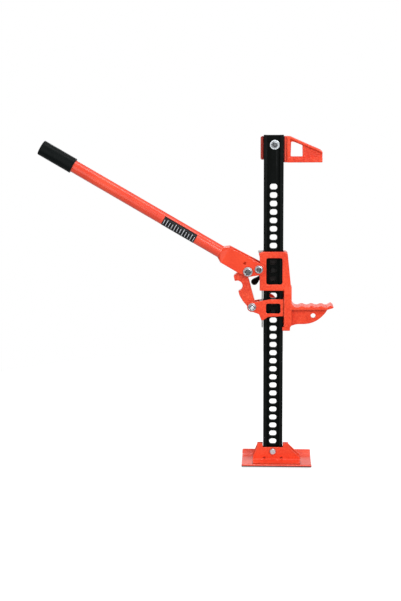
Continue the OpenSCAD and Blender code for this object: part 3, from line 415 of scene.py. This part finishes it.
LINK_RED = powder_coat("link_red_coat", **CAST, mottle=0.9, Coat_Roughness=0.3)
CLAMP_RED = powder_coat("clamp_red_coat", **CAST, mottle=0.55, shade=4,
                        shade_box=CLAMP_WRAP, Coat_Roughness=0.16)
RUNNER_RED = powder_coat("runner_red_coat", **CAST, mottle=0.55,
                         slideway=SLIDEWAY, Coat_Roughness=0.16)
SHEET_RED = powder_coat("sheet_red_coat", **SHEET, Coat_Roughness=0.08)
YOKE_RED = powder_coat("yoke_red_coat", **SHEET, shade_box=YOKE_ROOT, Coat_Roughness=0.12)
EAR_RED = powder_coat("bracket_red_coat", **PRESSED, strength=0.4, mottle=0.45,
                      shade_box=EAR_GAP, Coat_Roughness=0.12)
FOOT_RED = powder_coat("foot_red_coat", **PRESSED, strength=0.5, mottle=0.5,
                       coat=1.0, shade_box=FOOT_HEM, Coat_Roughness=0.20)
TUBE_RED = powder_coat("tube_red_coat", grain=300, depth=0.1, strength=0.1,
                       mottle=0.12, coat=0.8, fine=0.02, Coat_Roughness=0.24)
BLACK_PAINT = bar_black("satin_black_paint")
ZINC = zinc_plate("zinc_plate")
BOLT_ZINC = zinc_plate("bolt_zinc", pale=0.30, dark=0.12, rough=0.22)
HEAD_ZINC = zinc_plate("head_zinc", pale=0.98, dark=0.80, rough=0.34)
STRIP_STEEL = drawn_steel("strip_steel", stretch=(1, 1, 0.05))
PIN_STEEL = drawn_steel("pin_steel", stretch=(1, 0.08, 1), pale=0.030, dark=0.015,
                        rough=0.34)
SPRING_STEEL = drawn_steel("spring_steel", stretch=(1, 1, 1), pale=0.22, dark=0.11,
                           rough=0.30)
RUBBER = grip_rubber("grip_rubber")
NYLON = moulded("nylon_insert", rough=0.45, dark=rgb(0.010, 0.014, 0.030),
                pale=rgb(0.02, 0.026, 0.05))
KNOB_BLACK = moulded("knob_plastic", rough=0.24, dark=rgb(0.001, 0.0015, 0.0025),
                     pale=rgb(0.003, 0.004, 0.006), Specular_IOR_Level=0.08)
BLACK_FILM = moulded("black_film", rough=0.30, dark=rgb(0.002, 0.003, 0.004),
                     pale=rgb(0.008, 0.009, 0.011), Specular_IOR_Level=0.25)
PALE_INK = moulded("pale_ink", rough=0.45, dark=rgb(0.48, 0.50, 0.54),
                   pale=rgb(0.70, 0.71, 0.75))


# Mesh making. A shell is a pair: points as an array, and faces as lists.

def tube_faces(rows, columns):
    """Quads between neighbouring rings of a tube of closed rings."""
    row, column = np.meshgrid(np.arange(rows - 1), np.arange(columns), indexing="ij")
    after = (column + 1) % columns
    quads = np.stack([row * columns + column, row * columns + after,
                      (row + 1) * columns + after, (row + 1) * columns + column], -1)
    return quads.reshape(-1, 4).tolist()


def tube_shell(rings):
    """Shell through rings, an array of rows by columns by 3, with flat ends."""
    rows, columns = rings.shape[:2]
    first = list(range(columns))
    last = [(rows - 1) * columns + i for i in first]
    return rings.reshape(-1, 3), tube_faces(rows, columns) + [first[::-1], last]


def circles(radii, heights, columns):
    """Rings about the local Z axis: one radius and one height for each ring, or
    for each of its points."""
    turn = np.arange(columns) / columns * 2 * math.pi
    radii = np.broadcast_to(radii, (len(radii), columns))
    heights = np.broadcast_to(heights, (len(radii), columns))
    return np.stack([radii * np.cos(turn), radii * np.sin(turn), heights], -1)


def towards(here, corner, radius):
    """Point on the line to a corner, at the radius or at half of the way."""
    way = np.array(corner[:2], float) - here
    length = np.linalg.norm(way)
    return here + way / length * min(radius, length / 2)


def round_profile(corners, steps=4):
    """Profile (r, s) through corners (r, s, radius), each rounded by a quadratic
    curve from start to end: (1 - t)^2 start + 2 t (1 - t) corner + t^2 end."""
    points = []
    for i, (r, s, radius) in enumerate(corners):
        here = np.array((r, s), float)
        if radius == 0 or i in (0, len(corners) - 1):
            points.append(here)
            continue
        start, end = (towards(here, corners[j], radius) for j in (i - 1, i + 1))
        t = np.linspace(0, 1, steps + 1)[:, None]
        points.extend((1 - t) ** 2 * start + 2 * t * (1 - t) * here + t ** 2 * end)
    return np.array(points)


def lathe(profile, columns=64):
    """Surface of revolution about the local Z axis: the profile gives radius and
    height, each ring is a circle of that radius, and both ends get a flat cap."""
    profile = np.asarray(profile, float)
    return tube_shell(circles(profile[:, :1], profile[:, 1:], columns))


def lathe_ring(profile, columns=64):
    """Surface of revolution of a closed profile, such as a washer: its last ring
    joins its first."""
    profile = np.asarray(profile, float)
    points, faces = lathe(np.vstack([profile, profile[:1]]), columns)
    return points, faces[:-2]


def hexagon_radius(turn, flats):
    """Distance from the middle to the side of a hexagon, at each angle: half of
    the width across flats over the cosine of the angle from the side's middle."""
    wedge = math.pi / 3
    return flats / 2 / np.cos((turn + wedge / 2) % wedge - wedge / 2)


def hex_shell(flats, low, high, cone_low, cone_high, columns=96, rings=9):
    """Hexagonal prism whose corners a cone cuts at each end: the radius is the
    smaller of the hexagon's and the cone's at that height. The cone starts a
    little inside the flats and passes the corners at its given height."""
    turn = np.arange(columns) / columns * 2 * math.pi
    outer = flats / 2 / math.cos(math.pi / 6) * 1.005
    cut = outer - flats * 0.47
    share = np.linspace(0, 1, rings)
    heights = np.concatenate([
        low + share * cone_low, high - cone_high + share * cone_high])
    limits = np.concatenate([outer - cut * (1 - share), outer - cut * share])
    radius = np.minimum(hexagon_radius(turn, flats)[None, :], limits[:, None])
    return tube_shell(circles(radius, heights[:, None], columns))


def thread_shell(radius, low, high, pitch=1.5, columns=48, rows_a_turn=8):
    """Threaded rod: the radius dips by a triangle wave of height less turn, and
    a cone cuts the free end, from a tip below the threads' roots."""
    depth = pitch * 0.42
    tip, slope = radius - depth * 1.6, 1.2
    rows = max(rows_a_turn, int((high - low) / pitch * rows_a_turn))
    height = np.linspace(low, high, rows)[:, None]
    turn = (np.arange(columns) / columns)[None, :]
    wave = np.abs(((height / pitch - turn) % 1) * 2 - 1)
    radii = np.minimum(radius - depth * (1 - wave), tip + (height - low) * slope)
    return tube_shell(circles(radii, height, columns))


def coil_shell(radius, wire_r, low, high, turns, steps=28, sides=12):
    """Compression spring about the local Z axis: a round wire carried along a
    helix whose pitch closes to little more than the wire over its end turns."""
    t = np.linspace(0, turns, turns * steps + 1)
    closed = wire_r * 2.15
    ease = np.clip(np.minimum(t, turns - t) - 0.5, 0, 1)
    opening = ease * ease * (3 - 2 * ease)
    share = np.concatenate([[0], np.cumsum((opening[1:] + opening[:-1]) / 2)])
    spare = high - low - 2 * wire_r - closed * turns
    height = low + wire_r + closed * t + spare * share / share[-1]
    a = t * 2 * math.pi
    out = np.stack([np.cos(a), np.sin(a), np.zeros_like(a)], -1)[:, None, :]
    rise = np.array((0, 0, 1))
    k = (np.arange(sides) / sides * 2 * math.pi)[None, :, None]
    centre = out * radius + rise * height[:, None, None]
    return tube_shell(centre + wire_r * (np.cos(k) * out + np.sin(k) * rise))


def patch_shell(start, end, from_angle, to_angle, low_r, high_r, columns=48):
    """Part of a tube wall about the local Z axis: two rings, at its start and its
    end, that run out on the outer radius and back on the inner one."""
    a = np.radians(np.linspace(from_angle, to_angle, columns))
    around = np.concatenate([a, a[::-1]])
    radii = np.concatenate([np.full(columns, high_r), np.full(columns, low_r)])
    height = np.array((start, end))[:, None] * np.ones(2 * columns)
    rings = np.stack([
        np.broadcast_to(radii * np.cos(around), height.shape),
        np.broadcast_to(radii * np.sin(around), height.shape), height], -1)
    return tube_shell(rings)


def carry(shell, origin, ahead, side):
    """Moves a shell so that its Z axis runs ahead from the origin and its X axis
    points to the side."""
    points, faces = shell
    third = np.cross(ahead, side)
    turn = np.array((side, third, ahead), float)
    return points @ turn + np.asarray(origin, float), faces


def on_y(shell, place, way=1):
    """Turns a shell's Z axis to Y, or against it, at the X and Z of place."""
    return carry(shell, (place[0], 0, place[2]), (0, way, 0), (1, 0, 0))


def on_handle(shell):
    """Puts a shell along the handle: its Z runs from the pivot to the grip, on
    the axis of the tube, and its X points up from the tube."""
    a = math.radians(HANDLE_ANGLE)
    up = np.array((math.sin(a), 0, math.cos(a)))
    origin = np.array((PIVOT[0], 0, PIVOT[2])) - up * HANDLE_DROP
    return carry(shell, origin, (-math.cos(a), 0, math.sin(a)), up)


def on_latch(shell):
    """Puts a shell along the latch lever, its Z from the pivot to the knob."""
    a = math.radians(LATCH_ANGLE)
    return carry(shell, LATCH_PIVOT, (-math.cos(a), 0, -math.sin(a)), (0, 1, 0))


def join(shells):
    """One shell of several, which stay apart."""
    points, faces, count = [], [], 0
    for shell_points, shell_faces in shells:
        points.append(shell_points)
        faces += [[i + count for i in face] for face in shell_faces]
        count += len(shell_points)
    return np.concatenate(points), faces


def smooth(mesh, sharp_angle):
    """Smooth shading, with edges over the angle kept sharp."""
    mesh.shade_smooth()
    mesh.set_sharp_from_angle(angle=math.radians(sharp_angle))


def flat_faces(piece):
    """Lets large faces set the shading of the narrow ones beside them."""
    piece.modifiers.new("flat_faces", "WEIGHTED_NORMAL").keep_sharp = True


def finish_mesh(mesh, sharp_angle):
    """Merges doubled points, turns faces outwards and smooths them."""
    bm = bmesh.new()
    bm.from_mesh(mesh)
    bmesh.ops.remove_doubles(bm, verts=bm.verts, dist=1e-6)
    bmesh.ops.recalc_face_normals(bm, faces=bm.faces)
    bm.to_mesh(mesh)
    bm.free()
    smooth(mesh, sharp_angle)


def place_piece(piece, body, material, nodes):
    """Gives a piece its material and its body, and hides the nodes it stands for.
    A piece given more than one body stays where it is, with its transform baked."""
    piece.data.materials.clear()
    piece.data.materials.append(material)
    if isinstance(body, str):
        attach(piece, body)
    else:
        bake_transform(piece)
    if nodes:
        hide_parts(*nodes)


def make_piece(name, shells, body, material, nodes=(), sharp_angle=38):
    """A piece made of shells, in millimetres."""
    points, faces = join(shells)
    mesh = bpy.data.meshes.new(name)
    mesh.from_pydata((points * MM).tolist(), [], faces)
    finish_mesh(mesh, sharp_angle)
    piece = add_object(name, mesh)
    flat_faces(piece)
    place_piece(piece, body, material, nodes)


def copy_of(node, name):
    """A new object with a CAD node's mesh, its points merged and its flats whole."""
    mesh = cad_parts[node].data.copy()
    mesh.name = name
    bm = bmesh.new()
    bm.from_mesh(mesh)
    bmesh.ops.remove_doubles(bm, verts=bm.verts, dist=2e-6)
    bmesh.ops.dissolve_limit(
        bm, angle_limit=math.radians(0.5), verts=bm.verts, edges=bm.edges)
    bm.to_mesh(mesh)
    bm.free()
    return add_object(name, mesh)


def settle(piece):
    """Applies a piece's modifiers, so its mesh is final."""
    graph = bpy.context.evaluated_depsgraph_get()
    graph.update()
    mesh = bpy.data.meshes.new_from_object(piece.evaluated_get(graph))
    piece.modifiers.clear()
    piece.data = mesh


def cast_piece(node, body, material, voxel, passes, slot="red_paint"):
    """A casting or pressing: the solid's own form with every edge and corner
    rounded, by an even mesh of voxel size that is relaxed by so many passes."""
    piece = copy_of(node, node + "_cast")
    remesh = piece.modifiers.new("skin", "REMESH")
    remesh.mode = "VOXEL"
    remesh.voxel_size = voxel * MM
    relax = piece.modifiers.new("relax", "SMOOTH")
    relax.factor = 0.5
    relax.iterations = passes
    settle(piece)
    piece.data.shade_smooth()
    place_piece(piece, body, material, [node])


EASED_FROM = 34
SHARP_FROM = 50


def eased_piece(node, body, material, width):
    """A machined or rolled piece: the solid with an ease of the given width along
    each edge that turns by more than EASED_FROM. An edge that still turns by
    more than SHARP_FROM is shaded sharp."""
    piece = copy_of(node, node + "_eased")
    bevel = piece.modifiers.new("ease", "BEVEL")
    bevel.width = width * MM
    bevel.segments = 3
    bevel.limit_method = "ANGLE"
    bevel.angle_limit = math.radians(EASED_FROM)
    bevel.harden_normals = False
    smooth(piece.data, EASED_FROM)
    settle(piece)
    smooth(piece.data, SHARP_FROM)
    flat_faces(piece)
    place_piece(piece, body, material, [node])


# Castings and pressed plates: node, body, finish, voxel and passes, and slot
# where it isn't red paint.

for cast_row in (
        ("large_runner", "runner", RUNNER_RED, 1.1, 8),
        ("small_runner", "climber", RUNNER_RED, 0.8, 8),
        ("top_clamp", "bar", CLAMP_RED, 0.9, 8),
        ("link", "link", LINK_RED, 0.7, 8),
        ("handle_socket", "handle", SHEET_RED, 0.8, 9),
        ("foot_plate", "foot", FOOT_RED, 1.0, 5),
        ("foot_bracket_front", "foot", EAR_RED, 0.8, 5),
        ("foot_bracket_rear", "foot", EAR_RED, 0.8, 5),
        ("upper_yoke", "runner", YOKE_RED, 0.6, 4),
        ("lower_yoke", "climber", YOKE_RED, 0.6, 4),
        ("latch_lever", "latch", BLACK_PAINT, 0.5, 4, "black_paint")):
    cast_piece(*cast_row)

# Machined and rolled pieces: node, body, finish and ease.

eased_piece("standard_bar", "bar", BLACK_PAINT, 0.7)
eased_piece("guide_strip", "runner", STRIP_STEEL, 0.5)
eased_piece("latch_stud", "runner", ZINC, 0.4)
eased_piece("link_top_spacers", "handle", ZINC, 0.3)


# Climbing pins with their cross pins, seats and springs.

def climbing_unit(unit, carrier, pin_body, pin_z):
    """The pieces on one climbing pin. Its spring is held by the yoke of the
    carrier at one end and pushed by the seat on the pin at the other."""
    eased_piece(unit + "_climbing_pin", pin_body, PIN_STEEL, 0.6)
    eased_piece(unit + "_cross_pin", pin_body, PIN_STEEL, 0.4)
    eased_piece(unit + "_spring_seat", pin_body, ZINC, 0.3)
    seat, yoke = (corner[1] for corner in node_box(unit + "_spring"))
    coil = coil_shell(SPRING_R, SPRING_WIRE_R, seat, yoke, SPRING_TURNS)
    held, pushed = (np.array((0, y, pin_z)) * MM for y in (yoke, seat))
    make_piece(
        unit + "_spring_wound", [on_y(coil, (0, 0, pin_z))],
        (carrier, pin_body, held, pushed),
        SPRING_STEEL, [unit + "_spring"], 60)


climbing_unit("upper", "runner", "upper_pin", UPPER_PIN_Z)
climbing_unit("lower", "climber", "lower_pin", LOWER_PIN_Z)


def latch_knob():
    """Moulded knob: a ball with a neck that narrows towards the lever. From the
    neck's end to the ball's centre the radius rises by half a cosine wave, and
    the neck's rim is eased."""
    s = np.linspace(KNOB_NECK, KNOB_CENTRE + KNOB_R, 60)
    ball = np.sqrt(np.maximum(KNOB_R ** 2 - (s - KNOB_CENTRE) ** 2, 0))
    share = np.clip((s - KNOB_NECK) / (KNOB_CENTRE - KNOB_NECK), 0, 1)
    neck = KNOB_NECK_R + (KNOB_R - KNOB_NECK_R) * (1 - np.cos(share * math.pi)) / 2
    radius = np.where(s < KNOB_CENTRE, neck, ball)
    rim = [(KNOB_NECK_R - 0.8, KNOB_NECK), (KNOB_NECK_R - 0.2, KNOB_NECK + 0.2)]
    profile = np.concatenate([rim, np.stack([radius, s], -1)[2:-1], [(0.3, s[-1])]])
    make_piece("latch_knob_moulded", [on_latch(lathe(profile, 72))],
               "latch", KNOB_BLACK, ["latch_knob"])


latch_knob()


# Fasteners along Y, with sizes as shares: of the thread's diameter,

NUT_HEIGHT = 0.8
HEAD_HEIGHT = 0.62
HEAD_CONE = 0.16
INSERT_BORE = 0.47
THREAD_FIT = 0.985

# of the nut's height and of its width across flats,

COLLAR_SHARE = 0.25
NUT_CONES = (0.12, 0.06)
COLLAR_R = (0.43, 0.445)

# and in millimetres.

LIP_GAP = 1.1
WASHER_GAP = 0.15
OVERLAP = 0.5


def washer_profile(outer, bore, low, high):
    """Closed profile of a washer with eased edges, from the middle of its bore."""
    ease = (high - low) * 0.3
    return round_profile([
        (bore, (low + high) / 2, 0), (bore, low, ease), (outer, low, ease),
        (outer, high, ease), (bore, high, ease), (bore, (low + high) / 2, 0)], 3)[:-1]


def fastener(nut_node, bolt_node, body, washers=None, bolt=BOLT_ZINC, size=1.0):
    """Bolt, lock nut and washers as turned and threaded surfaces. They are made
    with the nut at the low end, and turned about where the nut is at the back.
    The size is the share of the solid hexagon that the drawn one fills."""
    low, high = node_box(nut_node)
    place = node_centre(nut_node)
    way = 1 if place[1] < 0 else -1
    front, back = sorted((way * low[1], way * high[1]))
    tip, end = sorted(way * corner[1] for corner in node_box(bolt_node))
    flats = (high[2] - low[2]) * size
    height = back - front
    diameter = height / NUT_HEIGHT
    collar = front + height * COLLAR_SHARE
    bore = diameter * INSERT_BORE
    lip = diameter / 2 + LIP_GAP
    head = end - diameter * HEAD_HEIGHT
    collar_top, collar_foot = (flats * share for share in COLLAR_R)
    cone_low, cone_high = (height * share for share in NUT_CONES)

    def piece(name, shells, material, slot, nodes=()):
        make_piece(name, [on_y(shell, place, way) for shell in shells],
                   body, material, nodes, 40)

    piece(nut_node + "_turned", [
        hex_shell(flats, collar, back, cone_low, cone_high),
        lathe_ring(round_profile([
            (lip, collar + 0.2, 0), (lip, front + 0.2, 0.3), (lip + 0.5, front, 0.3),
            (collar_top, front, 1.0), (collar_foot, collar + 0.3, 0),
            (lip, collar + 0.3, 0)]))], ZINC, "zinc", [nut_node])
    piece(nut_node + "_insert", [
        lathe_ring(round_profile([
            (bore, collar + 0.2, 0), (bore, front + 0.6, 0.2),
            (lip + 0.05, front + 0.6, 0), (lip + 0.05, collar + 0.2, 0)]))],
        NYLON, "black_plastic")
    piece(bolt_node + "_turned", [
        thread_shell(diameter / 2 * THREAD_FIT, tip, back + OVERLAP),
        lathe([(diameter / 2, back), (diameter / 2, head + OVERLAP)]),
        hex_shell(flats, head, end, 0.2, diameter * HEAD_CONE)],
        bolt, "zinc", [bolt_node])
    if washers:
        low, high = node_box(washers)
        ring = ((high[2] - low[2]) / 2, diameter / 2 + WASHER_GAP)
        piece(washers + "_turned", [
            lathe_ring(washer_profile(*ring, low[1], low[1] + WASHER_T)),
            lathe_ring(washer_profile(*ring, high[1] - WASHER_T, high[1]))],
            ZINC, "zinc", [washers])


fastener("foot_nut", "foot_bolt", "foot", bolt=HEAD_ZINC, size=0.9)
fastener("top_nut", "top_bolt", "bar", "top_washers")
fastener("pivot_nut", "pivot_bolt", "runner", "pivot_washers")
fastener("link_low_nut", "link_low_bolt", "climber", "link_low_washers",
         bolt=HEAD_ZINC)
fastener("link_top_nut", "link_top_bolt", "handle", "link_top_washers")


# Handle tube, grip and the black film on the tube.

TUBE_SHORT = 5.0
TUBE_EASE = 0.6
GRIP_FLOOR = 4.8
GRIP_ROUND = 5.0
GRIP_FACE = 0.8
LIP_LEN = 3.0
LIP_STEP = 0.25


def handle_tube():
    """Drawn tube, which ends a little short of the grip: a closed wall turned
    about the handle's axis."""
    end = HANDLE_REACH - TUBE_SHORT
    inner = TUBE_R - TUBE_WALL
    middle = (TUBE_IN + end) / 2
    profile = round_profile([
        (inner, middle, 0), (inner, TUBE_IN, TUBE_EASE), (TUBE_R, TUBE_IN, TUBE_EASE),
        (TUBE_R, end, TUBE_EASE), (inner, end, TUBE_EASE), (inner, middle, 0)])[:-1]
    make_piece("handle_tube_drawn", [on_handle(lathe_ring(profile, 96))],
               "handle", TUBE_RED, ["handle_tube"])


def handle_grip():
    """Moulded grip: a plain sleeve with a lip at its mouth, a rounded end and a
    small pit in its end face. The profile runs from the floor of the hollow, out
    of its mouth and along the outside to the pit."""
    mouth = HANDLE_REACH - GRIP_LEN
    lining = TUBE_R + 0.05
    floor = HANDLE_REACH - GRIP_FLOOR
    face = HANDLE_REACH - GRIP_FACE
    sleeve = GRIP_R - LIP_STEP
    profile = round_profile([
        (0.3, floor, 0), (lining, floor, 0.5), (lining, mouth, 0.8),
        (GRIP_R, mouth, 1.2), (GRIP_R, mouth + LIP_LEN, 0),
        (sleeve, mouth + LIP_LEN + 0.8, 0.4), (sleeve, HANDLE_REACH - GRIP_ROUND, 0.4),
        (sleeve, face, 4.6), (3, face, 1), (2.5, HANDLE_REACH - 2.0, 0.4),
        (0.3, HANDLE_REACH - 2.2, 0)], 6)
    make_piece("handle_grip_moulded", [on_handle(lathe(profile, 96))],
               "handle", RUBBER, ["handle_grip"])


FILM_START, FILM_END = 176.0, 269.5
FILM_TOP, FILM_BOTTOM = -55.0, -196.0
FILM_T = 0.2
INK_T = 0.08

# Even pale marks across the film: the width is a share of its length, and short
# and long marks run between shares of its height.

MARK_COUNT = 12
MARK_WIDTH = 0.016
MARK_SHORT = (0.22, 0.58)
MARK_LONG = (0.14, 0.80)


def handle_film():
    """Black film round the front of the tube, with a plain row of pale marks,
    every third one long: mark i stands at share (i + 1/2) / count."""
    top, drop = FILM_TOP, FILM_BOTTOM - FILM_TOP
    length = FILM_END - FILM_START
    film_r = TUBE_R + FILM_T
    make_piece("handle_film", [on_handle(patch_shell(
        FILM_START, FILM_END, FILM_BOTTOM, FILM_TOP, TUBE_R - 0.1, film_r))],
        "handle", BLACK_FILM)
    marks = []
    for i in range(MARK_COUNT):
        over, under = MARK_LONG if i % 3 == 1 else MARK_SHORT
        middle = FILM_START + length * (i + 0.5) / MARK_COUNT
        half = length * MARK_WIDTH / 2
        marks.append(on_handle(patch_shell(
            middle - half, middle + half, top + drop * under, top + drop * over,
            film_r - 0.05, film_r + INK_T, columns=24)))
    make_piece("handle_film_marks", marks, "handle", PALE_INK)


handle_tube()
handle_grip()
handle_film()


# Light, floor and background.

MIDDLE = Vector((0, 0, 0.45))
TUBE_MIDDLE = Vector((-0.33, 0, 0.66))
ROOM_LEVEL = 0.80
FLOOR_R = 1.35
FLOOR_GLOW = 0.72


def white_floor():
    """Pale round floor. It glows only in the camera's view, which shows it as
    white with a soft shadow of the jack. Reflections show it dimmer."""
    f = Finish("stage_white", Roughness=0.9, Specular_IOR_Level=0.0,
               Base_Color=rgb(0.42, 0.42, 0.42), Emission_Strength=1.0)
    camera = f.seen("Camera") | f.seen("Transmission")
    f.vary(Emission_Color=camera * FLOOR_GLOW)
    turn = np.linspace(0, 2 * math.pi, 96, endpoint=False)
    rim = np.stack([np.cos(turn), np.sin(turn), turn * 0], -1) * FLOOR_R
    mesh = bpy.data.meshes.new("floor")
    mesh.from_pydata(rim.tolist(), [], [list(range(len(rim)))])
    mesh.materials.append(f.material)
    floor = add_object("floor", mesh)


def lamp(name, azimuth, elevation, distance, size, power, target=MIDDLE, strip=None):
    """Area lamp seen from the target at an azimuth to the right of the front and
    an elevation, in metres and watts. It is round, or a strip with a width and a
    vector that its long side, the size, runs along."""
    a, e = math.radians(azimuth), math.radians(elevation)
    back = Vector((math.sin(a) * math.cos(e), -math.cos(a) * math.cos(e), math.sin(e)))
    data = bpy.data.lights.new(name, "AREA")
    data.energy = power
    data.shape = "DISK"
    data.size = size
    long = Vector((0, 0, 1))
    if strip:
        data.shape = "RECTANGLE"
        data.size_y, long = strip
    light = add_object(name, data)
    long = (long - back * long.dot(back)).normalized()
    turn = Matrix((long, back.cross(long), back)).transposed().to_4x4()
    light.matrix_world = Matrix.Translation(target + back * distance) @ turn


def pale_room():
    """World that the camera sees as white. Reflections show a white ceiling and a
    low white backdrop behind the jack, with dim walls between them, and diffuse
    light comes mostly from above."""
    world = bpy.data.worlds.new("pale_room")
    bpy.context.scene.world = world
    world.use_nodes = True
    room = Nodes(world.node_tree)
    way = room.node("ShaderNodeTexCoord", output="Generated")
    rise = room.node("ShaderNodeSeparateXYZ", None, {0: way}, "Z")
    depth = room.node("ShaderNodeSeparateXYZ", None, {0: way}, "Y")
    share = rise * 0.5 + 0.5
    lit = room.ramp(share, (0.0, 0.18), (0.50, 0.18), (0.62, 0.30), (0.80, 1.0))
    ceiling = room.ramp(share, (0.86, 0.13), (0.92, 1.0))
    backdrop = room.ramp(depth, (0.45, 0.0), (0.70, 1.0)) * room.ramp(
        rise, (0.0, 1.0), (0.20, 1.0), (0.45, 0.0))
    mirrored = room.seen("Glossy") | room.seen("Transmission")
    level = mirrored * (ceiling | backdrop) + (1 - mirrored) * lit * ROOM_LEVEL
    camera = room.seen("Camera")
    room.set(room.tree.nodes["Background"], {
        "Color": rgb(1, 1, 1), "Strength": camera + (1 - camera) * level})


pale_room()
white_floor()

# Lamps: name, azimuth, elevation, distance, size and power.

lamp("key", 24, 18, 2.6, 1.1, 37)
lamp("fill", -28, 4, 2.6, 2.2, 17)
lamp("back", 205, 34, 2.6, 1.6, 22)
lamp("strip", 72, 57, 2.0, 2.4, 13, TUBE_MIDDLE, (0.34, Vector((-0.86, 0, 0.5))))

bpy.context.scene.view_settings.view_transform = "Standard"
